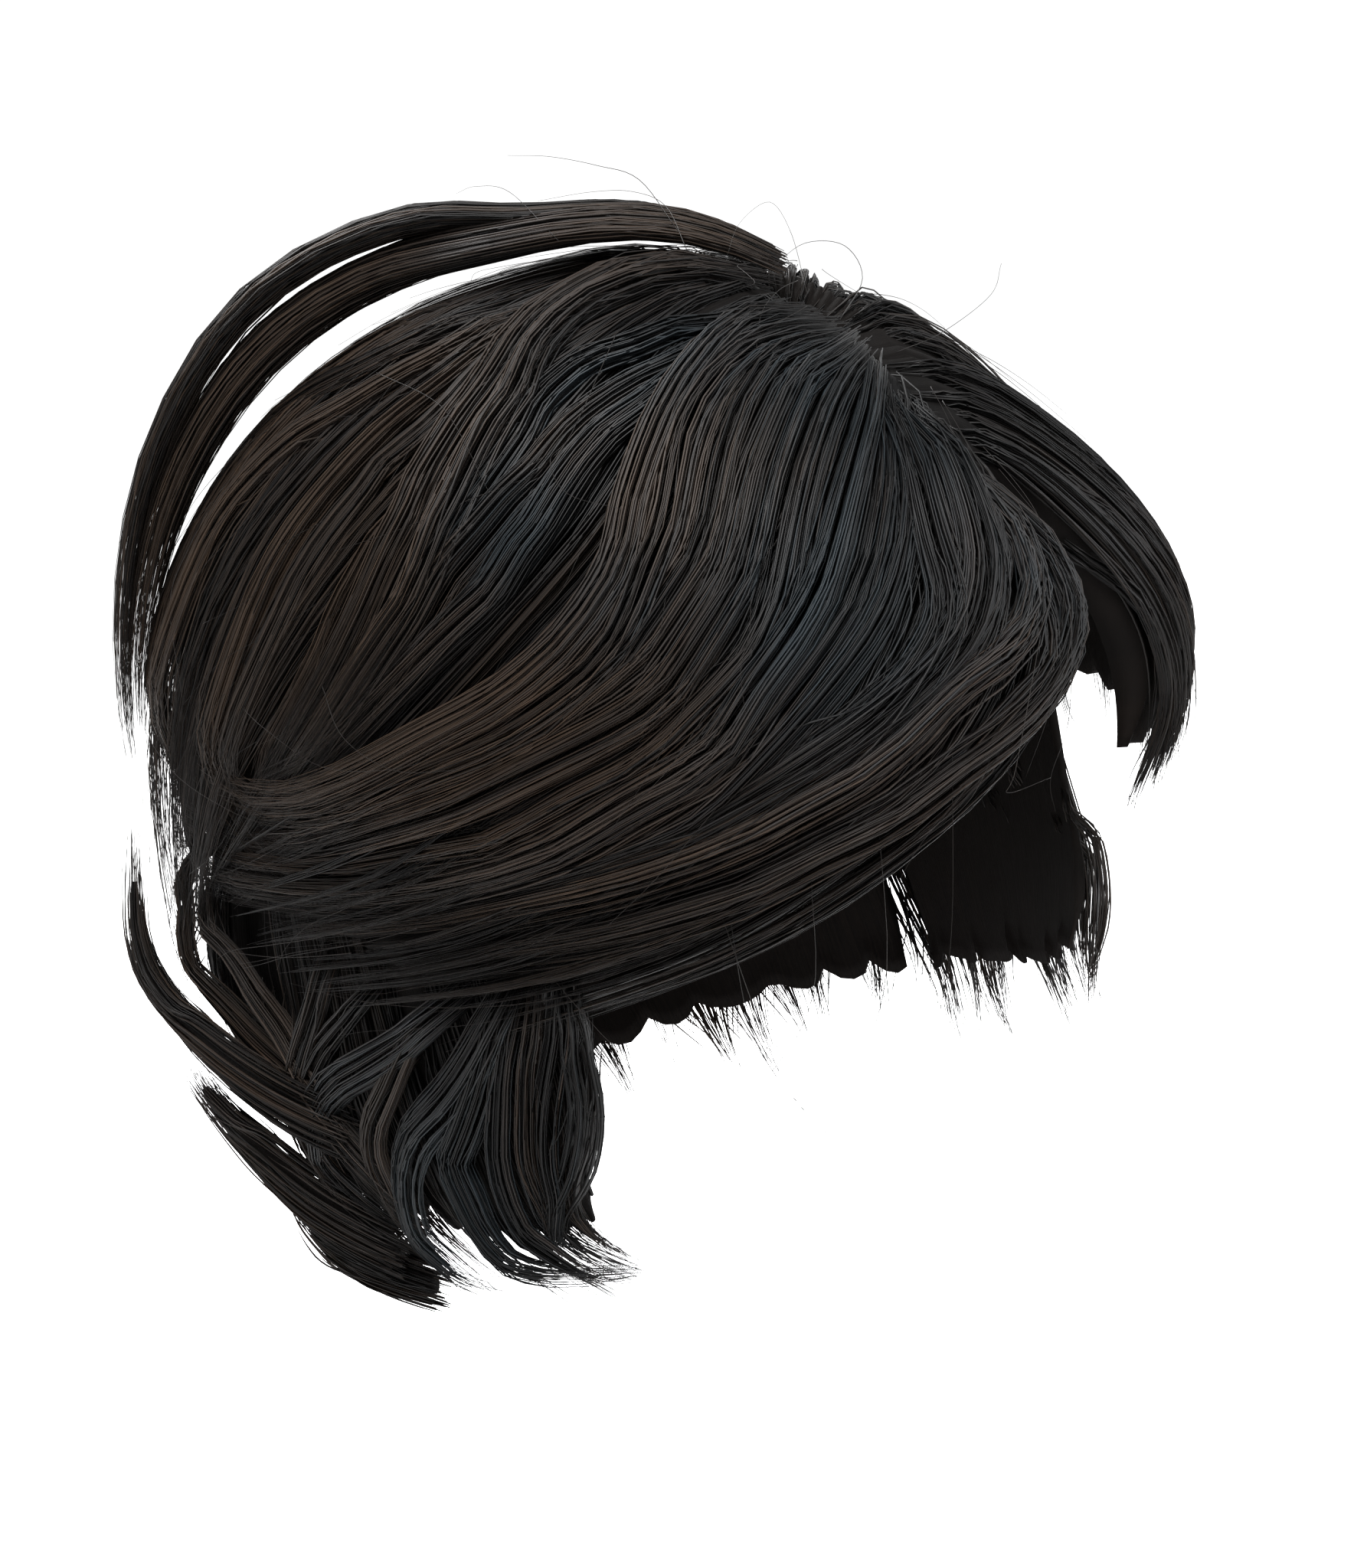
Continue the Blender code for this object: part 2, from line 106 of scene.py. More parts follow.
SECTIONS = {
    "crown_hair": dict(
        depth=(11, 9, 9, 8, 6),
        rows=(
            ((13, 15, 15.5, 17, 18), TEMPLE),
            ((14, 14, 15.5, 18.5, 23), ((40, 67), (-52, 63), (-78, 42), (-95, 16), (-114, -13))),
            ((14, 12, 14.5, 20.5, 28), ((43, 71), (-92, 76), (-108, 50), (-116, 22), (-123, -20))),
            ((14, 11, 14.5, 20.5, 27), ((50, 73), (-158, 78), (-144, 52), (-142, 20), (-143, -22))),
            ((14, 13, 16.5, 20.0, 23), ((57, 73), (166, 75), (-178, 50), (-174, 19), (-174, -20))),
            ((14, 15, 17.5, 19.0, 20), ((60, 70), (134, 67), (150, 44), (153, 18), (154, -16))),
            ((15, 16, 17.0, 18.0, 18), BACK_LEFT),
        ),
    ),
    "fringe": dict(
        depth=(10, 9, 8, 7, 4.5),
        rows=(
            ((13, 15, 15.5, 17, 18), TEMPLE),
            ((12, 14.5, 15, 16.5, 17.5), ((33, 57), (-20, 44), (-44, 22), (-73, 3), (-105, -10))),
            ((11, 14, 14.5, 15.5, 17), ((27, 51), (-13, 34), (-37, 12), (-67, -5), (-98, -15))),
            ((11, 13, 13.5, 14.5, 16), ((21, 46), (2, 26), (-21, 5), (-51, -11), (-82, -19))),
            ((10, 12, 12.5, 12.5, 13.5), ((17, 40), (17, 23), (9, 9), (-25, -8), (-61, -21))),
        ),
    ),
    "left_fringe": dict(
        depth=(10, 11, 13, 12, 8),
        rows=(
            ((11, 15, 19, 18, 12), ((17, 39), (24, 24), (28, 9), (29, -2), (26, -12))),
            ((11, 16.5, 24.5, 22, 15), ((26, 48), (40, 31), (44, 12), (44, -1), (38, -12))),
            ((12.5, 15.5, 19, 18, 15), LEFT_TEMPLE),
        ),
    ),
    "left_side_hair": dict(
        depth=(11, 9, 9, 8, 5),
        rows=(
            ((12.5, 15.5, 19, 18, 15), LEFT_TEMPLE),
            ((14.5, 16, 17, 17.5, 16), ((47, 62), (84, 49), (93, 28), (96, 8), (94, -11))),
            ((15, 16, 17, 18, 18), BACK_LEFT),
        ),
    ),
    "right_sideburn": dict(
        depth=(6, 6, 8, 8, 5),
        rows=(
            ((8.4, 8.8, 11, 12.5, 11), ((-62, -4), (-60, -22), (-60, -34), (-64, -44), (-64, -52))),
            ((8.6, 9.2, 12, 14, 13), ((-74, 0), (-72, -19), (-69, -36), (-67, -49), (-56, -56))),
            ((8.6, 9.6, 13, 14.5, 12), ((-89, 3), (-87, -17), (-84, -36), (-80, -51), (-71, -61))),
            ((8.8, 11.5, 16, 15, 10.5), BEHIND_RIGHT),
        ),
    ),
    "left_sideburn": dict(
        depth=(6, 6, 8, 8, 5),
        rows=(
            ((8.4, 8.8, 10.5, 11.5, 10), ((63, -3), (61, -18), (60, -29), (63, -41), (66, -50))),
            ((8.6, 9.2, 11.5, 12.5, 11), ((76, 1), (75, -17), (73, -33), (73, -46), (66, -56))),
            ((8.6, 9.6, 12.5, 13.0, 11), ((90, 3), (89, -17), (87, -34), (84, -48), (78, -60))),
            ((8.6, 11, 13.5, 13.5, 10), BEHIND_LEFT),
        ),
    ),
    "nape_hair": dict(
        depth=(6, 8, 9, 8, 5),
        rows=(
            ((8.8, 11.5, 16, 15, 10.5), BEHIND_RIGHT),
            ((8.8, 22.5, 19.5, 13, 9), ((-127, 4), (-126, -24), (-124, -41), (-121, -56), (-116, -68))),
            ((8.8, 16, 18, 14, 10), ((-154, 4), (-153, -24), (-152, -43), (-150, -58), (-148, -71))),
            ((8.8, 15, 18, 15, 11), ((180, 4), (180, -24), (180, -44), (180, -59), (180, -72))),
            ((8.8, 14, 17, 15, 11), ((154, 4), (153, -24), (152, -43), (150, -58), (148, -71))),
            ((8.8, 12, 15, 14, 10), ((127, 4), (126, -23), (124, -41), (121, -56), (116, -67))),
            ((8.6, 11, 13.5, 13.5, 10), BEHIND_LEFT),
        ),
    ),
}


class Section:
    """A section's flow as tables over u (across) and t (root to tip)."""

    NU, NT, TMAX = 121, 97, 1.12

    def __init__(self, spec):
        t = np.linspace(0, self.TMAX, self.NT)
        u = np.linspace(0, 1, self.NU)
        lines = []
        for _, row in spec["rows"]:
            lon = np.array([p[0] for p in row], float)
            lat = np.array([p[1] for p in row], float)
            lines.append(curve(form(lon, lat)[0], t))
        grid = curve(np.stack(lines), u)
        lon, lat = angles(grid)
        self.a, self.b = form(lon, lat)
        lifts = np.stack([curve(np.array(l, float), np.minimum(t, 1.0)) for l, _ in spec["rows"]])
        self.outer = curve(lifts, u)
        self.depth = curve(np.array(spec["depth"], float), np.minimum(t, 1.0))[None, :].repeat(self.NU, 0)
        self.width = np.linalg.norm(np.diff(grid, axis=0), axis=-1).sum(0)
        self.length = np.linalg.norm(np.diff(grid, axis=1), axis=-1).sum(1).mean() / self.TMAX

    def sample(self, table, u, t):
        x = np.clip(u, 0, 1) * (self.NU - 1)
        y = np.clip(t, 0, self.TMAX) / self.TMAX * (self.NT - 1)
        i = np.minimum(x.astype(int), self.NU - 2)
        j = np.minimum(y.astype(int), self.NT - 2)
        fx, fy = x - i, y - j
        if table.ndim == 3:
            fx, fy = fx[..., None], fy[..., None]
        return (table[i, j] * (1 - fx) * (1 - fy) + table[i + 1, j] * fx * (1 - fy)
                + table[i, j + 1] * (1 - fx) * fy + table[i + 1, j + 1] * fx * fy)

    def width_at(self, t):
        return np.interp(np.clip(t, 0, self.TMAX), np.linspace(0, self.TMAX, self.NT), self.width)

    def place(self, u, t, lift):
        return self.sample(self.a, u, t) + self.sample(self.b, u, t) * lift[..., None]


# ---- mesh making -----------------------------------------------------------------------
def mesh_from(name, verts, quads, tris, uv, attrs):
    """A mesh from arrays, in metres; uv is per vertex, attrs are floats per vertex."""
    mesh = bpy.data.meshes.new(name)
    nq, nt = len(quads), len(tris)
    loops = np.concatenate([quads.ravel(), tris.ravel()]).astype(np.int32)
    starts = np.concatenate([np.arange(nq) * 4, nq * 4 + np.arange(nt) * 3]).astype(np.int32)
    mesh.vertices.add(len(verts))
    mesh.vertices.foreach_set("co", (verts / 1000.0).astype(np.float32).ravel())
    mesh.loops.add(len(loops))
    mesh.loops.foreach_set("vertex_index", loops)
    mesh.polygons.add(nq + nt)
    mesh.polygons.foreach_set("loop_start", starts)
    mesh.polygons.foreach_set("use_smooth", np.ones(nq + nt, bool))
    layer = mesh.uv_layers.new(name="flow")
    layer.data.foreach_set("uv", uv[loops].astype(np.float32).ravel())
    for key, values in attrs.items():
        attr = mesh.attributes.new(key, "FLOAT", "POINT")
        attr.data.foreach_set("value", values.astype(np.float32))
    mesh.update(calc_edges=True)
    mesh.validate()
    return mesh


def frames(p, out):
    """Side and normal directions along polylines p (n, k, 3) with outward hints."""
    tan = np.gradient(p, axis=1)
    tan /= np.linalg.norm(tan, axis=-1, keepdims=True) + 1e-9
    side = np.cross(tan, out)
    side /= np.linalg.norm(side, axis=-1, keepdims=True) + 1e-9
    return side, np.cross(side, tan)


def tubes(p, out, wide, deep, sides):
    """Closed tubes round polylines; wide and deep are half sizes (n, k)."""
    n, k, _ = p.shape
    side, normal = frames(p, out)
    ang = np.arange(sides) * 2 * math.pi / sides + (math.pi / 2 if sides == 3 else 0)
    ring = (side[:, :, None, :] * (np.cos(ang)[None, None, :, None] * wide[:, :, None, None])
            + normal[:, :, None, :] * (np.sin(ang)[None, None, :, None] * deep[:, :, None, None]))
    verts = (p[:, :, None, :] + ring).reshape(-1, 3)
    base = (np.arange(n)[:, None, None] * k + np.arange(k - 1)[None, :, None]) * sides
    s0 = np.arange(sides)[None, None, :]
    s1 = (s0 + 1) % sides
    quads = np.stack([base + s0, base + s1, base + sides + s1, base + sides + s0], -1).reshape(-1, 4)
    first = np.arange(n)[:, None] * k * sides
    last = first + (k - 1) * sides
    fans = []
    for s in range(1, sides - 1):
        fans.append(np.concatenate([first, first + s + 1, first + s], 1))
        fans.append(np.concatenate([last, last + s, last + s + 1], 1))
    tris = np.concatenate(fans)
    # side x normal points back along the strand, so the rings above already face outwards
    t = np.linspace(0, 1, k)[None, :, None] * np.ones((n, 1, sides))
    strip = (np.arange(n)[:, None, None] + (np.arange(sides)[None, None, :] + 0.5) / sides * 0.9 + 0.05) / n
    uv = np.stack([t, strip * np.ones((n, k, sides))], -1).reshape(-1, 2)
    return verts, quads, tris, uv


def outward(verts, quads, tris):
    """Turns all faces round if the closed shape encloses a negative volume."""
    a = verts[np.concatenate([quads[:, :3], quads[:, [0, 2, 3]], tris])]
    if np.einsum("ij,ij->i", a[:, 0], np.cross(a[:, 1], a[:, 2])).sum() < 0:
        return quads[:, ::-1], tris[:, ::-1]
    return quads, tris


PIECES = []


def add_piece(name, verts, quads, tris, uv, attrs, mat, replaces=None):
    quads, tris = outward(verts, quads, tris)
    mesh = mesh_from(name, verts, quads, tris, uv, attrs)
    mesh.materials.append(mat)
    obj = bpy.data.objects.new(name, mesh)
    bpy.context.scene.collection.objects.link(obj)
    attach(obj, "root")
    if replaces:
        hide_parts(replaces)
    PIECES.append((name, len(quads) * 2 + len(tris)))
    return obj


# ---- colour: where a painted bluish sheen lies over the warm fibre -----------------------
# Patches of painted bluish sheen, on the parts that face the light, as (longitude, latitude, radius in mm, strength).
BLUE_SHEEN_PATCHES = ((0, 46, 34, 1.0), (-34, 56, 22, 0.8), (-22, 24, 26, 1.0), (-58, 36, 13, 0.8), (-45, 26, 14, 0.6),
        (8, 20, 20, 0.7), (40, 25, 30, 0.4), (-80, -45, 40, 0.45), (-112, -15, 26, 0.35), (-100, 74, 16, 0.5))


def painted_blue_sheen(p):
    c = np.zeros(p.shape[:-1])
    for lon, lat, radius, strength in BLUE_SHEEN_PATCHES:
        a, b = form(np.array(float(lon)), np.array(float(lat)))
        centre = a + 14.0 * b
        d2 = ((p - centre) ** 2).sum(-1) / radius ** 2
        c = np.maximum(c, strength * np.exp(-d2))
    return c


# ---- materials ---------------------------------------------------------------------------
def node(tree, kind, **props):
    made = tree.nodes.new(kind)
    for key, value in props.items():
        setattr(made, key, value)
    return made


def hair_material(name, dark, warm, blue_sheen, rough, level, streaks, contrast):
    """Colour from each strand's tone, its own tone with painted shade, mixed towards a painted bluish sheen, with fine
    streaks along it.
    """
    mat = bpy.data.materials.new(name)
    mat.use_nodes = True
    tree = mat.node_tree
    shader = tree.nodes["Principled BSDF"]
    shader.inputs["Roughness"].default_value = rough
    shader.inputs["Specular IOR Level"].default_value = level
    shader.inputs["Metallic"].default_value = 0.0
    tone = node(tree, "ShaderNodeAttribute", attribute_name="tone")
    blue_sheen_attr = node(tree, "ShaderNodeAttribute", attribute_name="blue_sheen")
    uv = node(tree, "ShaderNodeUVMap", uv_map="flow")
    stretch = node(tree, "ShaderNodeMapping")
    stretch.inputs["Scale"].default_value = streaks
    noise = node(tree, "ShaderNodeTexNoise")
    noise.inputs["Scale"].default_value = 1.0
    noise.inputs["Detail"].default_value = 3.0
    tree.links.new(uv.outputs[0], stretch.inputs[0])
    tree.links.new(stretch.outputs[0], noise.inputs["Vector"])
    # the warm fibre colour, mixed towards the painted bluish sheen colour by each strand's share of it
    tint = node(tree, "ShaderNodeMix", data_type="RGBA")
    tint.inputs[6].default_value = (*warm, 1)
    tint.inputs[7].default_value = (*blue_sheen, 1)
    tree.links.new(blue_sheen_attr.outputs["Fac"], tint.inputs[0])
    lift = node(tree, "ShaderNodeMath", operation="MULTIPLY", use_clamp=True)
    tree.links.new(tone.outputs["Fac"], lift.inputs[0])
    ramp = node(tree, "ShaderNodeMapRange")
    ramp.inputs["From Min"].default_value = 0.30
    ramp.inputs["From Max"].default_value = 0.70
    ramp.inputs["To Min"].default_value = 1.0 - contrast
    ramp.inputs["To Max"].default_value = 1.0 + contrast
    tree.links.new(noise.outputs["Fac"], ramp.inputs["Value"])
    tree.links.new(ramp.outputs[0], lift.inputs[1])
    colour = node(tree, "ShaderNodeMix", data_type="RGBA")
    colour.inputs[6].default_value = (*dark, 1)
    tree.links.new(lift.outputs[0], colour.inputs[0])
    tree.links.new(tint.outputs[2], colour.inputs[7])
    tree.links.new(colour.outputs[2], shader.inputs["Base Color"])
    return mat, shader, noise, tree


def strand_material():
    mat, shader, noise, tree = hair_material(
        "hair_strands", (0.0008, 0.0007, 0.0007), (0.0190, 0.0122, 0.0080), (0.0078, 0.0106, 0.0126),
        0.46, 0.10, (11.0, 1.0, 1.0), 0.35)
    return mat


# painted shade: the under-layer's colour is near-black, far darker than the strands, for the shade deep under the hair
def shaded_underlayer_material():
    mat, shader, noise, tree = hair_material(
        "hair_underlayer_shade", (0.0006, 0.0005, 0.0005), (0.0036, 0.0025, 0.0019), (0.0022, 0.0026, 0.0029),
        0.75, 0.04, (4.0, 420.0, 1.0), 0.8)
    bump = node(tree, "ShaderNodeBump")
    bump.inputs["Strength"].default_value = 0.6
    bump.inputs["Distance"].default_value = 0.0004
    tree.links.new(noise.outputs["Fac"], bump.inputs["Height"])
    tree.links.new(bump.outputs[0], shader.inputs["Normal"])
    return mat


def cap_material():
    """Fine stretch mesh crossed by rows of sewn wefts."""
    mat = bpy.data.materials.new("cap_net")
    mat.use_nodes = True
    tree = mat.node_tree
    shader = tree.nodes["Principled BSDF"]
    shader.inputs["Roughness"].default_value = 0.85
    shader.inputs["Specular IOR Level"].default_value = 0.08
    coord = node(tree, "ShaderNodeTexCoord")
    rows = node(tree, "ShaderNodeTexWave", wave_type="BANDS", bands_direction="Z")
    rows.inputs["Scale"].default_value = 45.0
    rows.inputs["Distortion"].default_value = 0.4
    net = node(tree, "ShaderNodeTexVoronoi", feature="DISTANCE_TO_EDGE")
    net.inputs["Scale"].default_value = 700.0
    tree.links.new(coord.outputs["Object"], rows.inputs["Vector"])
    tree.links.new(coord.outputs["Object"], net.inputs["Vector"])
    both = node(tree, "ShaderNodeMath", operation="MULTIPLY")
    tree.links.new(rows.outputs["Fac"], both.inputs[0])
    tree.links.new(net.outputs["Distance"], both.inputs[1])
    ramp = node(tree, "ShaderNodeValToRGB")
    ramp.color_ramp.elements[0].color = (0.0060, 0.0052, 0.0050, 1)
    ramp.color_ramp.elements[1].color = (0.0012, 0.0011, 0.0011, 1)
    ramp.color_ramp.elements[1].position = 0.25
    tree.links.new(both.outputs[0], ramp.inputs[0])
    tree.links.new(ramp.outputs[0], shader.inputs["Base Color"])
    bump = node(tree, "ShaderNodeBump")
    bump.inputs["Strength"].default_value = 0.5
    bump.inputs["Distance"].default_value = 0.0006
    tree.links.new(rows.outputs["Fac"], bump.inputs["Height"])
    tree.links.new(bump.outputs[0], shader.inputs["Normal"])
    return mat


STRANDS, SHADED_BODY, CAP = strand_material(), shaded_underlayer_material(), cap_material()


# ---- growing the hair ----------------------------------------------------------------------
def waves(rng, n, x, low, high):
    """Gentle random bends along x, a row for each of n."""
    total = np.zeros((n, len(x)))
    for k in range(low, high + 1):
        amp = rng.normal(0, 1.0 / k ** 1.3, (n, 1))
        phase = rng.uniform(0, 2 * math.pi, (n, 1))
        total += amp * np.sin(math.pi * k * x[None, :] + phase)
    return total


def grow_section(name, sec, rng, locks, strands, segs=14, radius=0.22, flick=0.0, loose=1.0, shade=(1, 1), drop=(0, 0)):
    """Strands of a section, gathered in locks that overlap like shingles.

    shade and drop run over the section from its first row to its last: a share of the tone,
    and millimetres that the strands lie deeper, where other locks cover them.
    """
    x = np.linspace(0, 1, segs + 1)
    # the locks
    u_mid = (np.arange(locks) + rng.uniform(0.1, 0.9, locks)) / locks
    level = rng.uniform(0, 1, locks)  # 0 deep, 1 on top
    start = np.where(rng.random(locks) < 0.62, 0.0, rng.uniform(0.08, 0.45, locks))
    end = rng.uniform(0.86, 1.05, locks)
    half = rng.uniform(0.7, 1.6, locks) / locks
    tone_lock = 0.06 + 0.84 * rng.beta(1.3, 1.9, locks)
    lock_blue_sheen = rng.normal(0.05, 0.2, locks)
    sway, heave = waves(rng, locks, x, 1, 3), waves(rng, locks, x, 1, 3)
    # the strands of each lock
    share = half * (end - start)
    which = rng.choice(locks, strands, p=share / share.sum())
    s = np.clip(rng.normal(0, 0.52, strands), -1.25, 1.25)
    d = rng.random(strands) ** 0.7
    sway1, heave1 = waves(rng, strands, x, 1, 4), waves(rng, strands, x, 1, 4)
    stray = (rng.random(strands) < 0.07) * rng.uniform(0.5, 1.0, strands)
    t0 = start[which] + rng.uniform(0, 0.05, strands)
    t1 = end[which] + rng.normal(0, 0.035, strands)
    t1 = np.where(rng.random(strands) < 0.2, t1 - rng.uniform(0.05, 0.35, strands), t1)
    t = t0[:, None] + (t1 - t0)[:, None] * x[None, :]
    gather = (0.5 + 0.5 * step(0.0, 0.3, x)) * (1.0 - 0.78 * step(0.5, 1.0, x))
    mm = 1.0 / np.maximum(sec.width_at(t), 8.0)  # one millimetre across, as a share of u
    u = (u_mid[which][:, None] + half[which][:, None] * s[:, None] * gather[None, :]
         + mm * (sway[which] * 2.6 * (0.2 + 0.8 * x) + sway1 * (0.35 + 2.6 * stray[:, None]) * (0.15 + 0.85 * x) * loose))
    u = np.clip(u, 0.002, 0.998)
    outer = sec.sample(sec.outer, u, t)
    crest = (1.0 - 0.85 * np.clip(np.abs(s), 0, 1) ** 2)[:, None] * 2.4
    lift = outer - 3.6 + (level[which] * 3.2)[:, None] * (0.3 + 0.7 * x) + crest * (0.4 + 0.6 * gather) - (d * 2.4)[:, None]
    lift = lift + heave[which] * 0.7 + heave1 * (0.16 + 1.5 * stray[:, None]) * x * loose
    lift = lift + flick * step(0.7, 1.0, x)[None, :] * rng.uniform(-0.3, 1.0, (strands, 1))
    lift = lift - np.interp(u, np.linspace(0, 1, len(drop)), drop)
    rooted = (start[which] < 0.01)[:, None]
    emerge = np.where(rooted, (outer - 4.5) * (1 - step(0.0, 0.09, x))[None, :] * rng.uniform(0.5, 1.0, (strands, 1)),
                      5.0 * (1 - step(0.0, 0.22, x))[None, :])
    lift = np.clip(lift - emerge, 2.4, outer + 3.0)
    p = sec.place(u, t, lift)
    # roots reach a little past the root line, so that the two sides of a parting interleave
    back = p[:, 0] - p[:, 2]
    back /= np.linalg.norm(back, axis=-1, keepdims=True) + 1e-9
    reach = np.where(rooted[:, 0], rng.uniform(-1.5, 3.5, strands), 0.0)
    p = p + back[:, None, :] * (reach[:, None] * (1 - step(0.0, 0.16, x))[None, :])[..., None]
    out = sec.sample(sec.b, u, t)
    taper = (0.45 + 0.55 * step(0, 0.08, x)) * (1 - 0.88 * step(0.6, 1.0, x))
    r = radius * rng.uniform(0.6, 1.35, strands)[:, None] * taper[None, :]
    verts, quads, tris, uv = tubes(p, out, r * 1.15, r * 0.85, 3)
    # painted shade: locks that lie deeper, the roots, and the strands under other locks (shade) are darker; the rest is
    # each lock's own random tone
    tone = np.clip(tone_lock[which] * (0.55 + 0.45 * level[which]) + rng.normal(0, 0.18, strands), 0.02, 1.1)[:, None]
    tone = tone * (0.45 + 0.55 * step(0.0, 0.35, x))[None, :] * np.interp(u, np.linspace(0, 1, len(shade)), shade)
    tone = tone.repeat(3, 1).reshape(-1)
    # painted bluish sheen by place on the head, with a random share for each lock and strand
    blue_sheen = np.clip(painted_blue_sheen(p) + lock_blue_sheen[which][:, None] + rng.normal(0, 0.12, (strands, 1)), 0, 1).repeat(3, 1).reshape(-1)
    add_piece(name + "_strands", verts, quads, tris, uv, {"tone": tone, "blue_sheen": blue_sheen}, STRANDS)


def section_body(name, sec, rng, locks, across=64, along=20, sink=4.4, reach=0.9, margin=0.03):
    """The dense under-layer of a section: a closed ridged shell under its strands."""
    u, t = np.meshgrid(np.linspace(margin, 1 - margin, across + 1), np.linspace(0, reach, along + 1), indexing="ij")
    wander = np.interp(u, np.linspace(0, 1, 12), rng.uniform(-0.35, 0.35, 12))
    ridge = np.abs(np.sin(math.pi * (locks * 0.5 * u + wander + 0.3 * t))) ** 0.7
    tt = t * (1.0 - 0.07 * (1 - ridge) * step(0.6, 1.0, t / reach))
    outer, depth = sec.sample(sec.outer, u, tt), sec.sample(sec.depth, u, tt)
    edge = 1 - step(0.0, 0.10, u) * step(0.0, 0.10, 1 - u)
    high = outer - sink - 1.8 * (1 - ridge) - 2.5 * step(0.75, 1.0, t / reach) - 2.0 * edge
    high = np.where(t < 0.02, 4.2, high)
    low = np.minimum(np.maximum(outer - depth, 2.6), high - 0.8)
    high = np.maximum(high, 3.4)
    low = np.minimum(low, high - 0.8)
    top, bottom = sec.place(u, tt, high), sec.place(u, tt, low)
    nu, nt = across + 1, along + 1
    verts = np.concatenate([top.reshape(-1, 3), bottom.reshape(-1, 3)])
    idx = np.arange(nu * nt).reshape(nu, nt)
    off = nu * nt
    a, b, c, d = idx[:-1, :-1], idx[1:, :-1], idx[1:, 1:], idx[:-1, 1:]
    quads = [np.stack([a, b, c, d], -1).reshape(-1, 4), np.stack([d, c, b, a], -1).reshape(-1, 4) + off]
    edges = [(idx[:-1, 0], idx[1:, 0], False), (idx[:-1, -1], idx[1:, -1], True),
             (idx[0, :-1], idx[0, 1:], True), (idx[-1, :-1], idx[-1, 1:], False)]
    for p0, p1, flip in edges:
        q = np.stack([p0, p0 + off, p1 + off, p1], -1)
        quads.append(q[:, ::-1] if flip else q)
    quads = np.concatenate(quads)
    uv = np.concatenate([np.stack([t, u], -1).reshape(-1, 2)] * 2)
    tone = np.full(len(verts), 0.5)
    # painted bluish sheen by place on the head, as on the strands
    add_piece(name + "_body", verts, quads, np.zeros((0, 3), int), uv, {"tone": tone, "blue_sheen": painted_blue_sheen(verts)},
              SHADED_BODY, replaces=name)


# ---- locks that are laid one by one ----------------------------------------------------------
class Ground:
    """How high the hair's surface stands over any place on the head."""

    def __init__(self, sections):
        pts, lifts = [], []
        for sec in sections:
            a, b, outer = sec.a[::4, :89:4], sec.b[::4, :89:4], sec.outer[::4, :89:4]
            pts.append((a + 14.0 * b).reshape(-1, 3))
            lifts.append(outer.reshape(-1))
        self.pts, self.lifts = np.concatenate(pts), np.concatenate(lifts)

    def lift(self, a, b):
        d2 = (((a + 14.0 * b)[:, None, :] - self.pts[None]) ** 2).sum(-1)
        near = np.argsort(d2, axis=1)[:, :5]
        w = 1.0 / (np.take_along_axis(d2, near, 1) + 4.0)
        return (self.lifts[near] * w).sum(1) / w.sum(1)


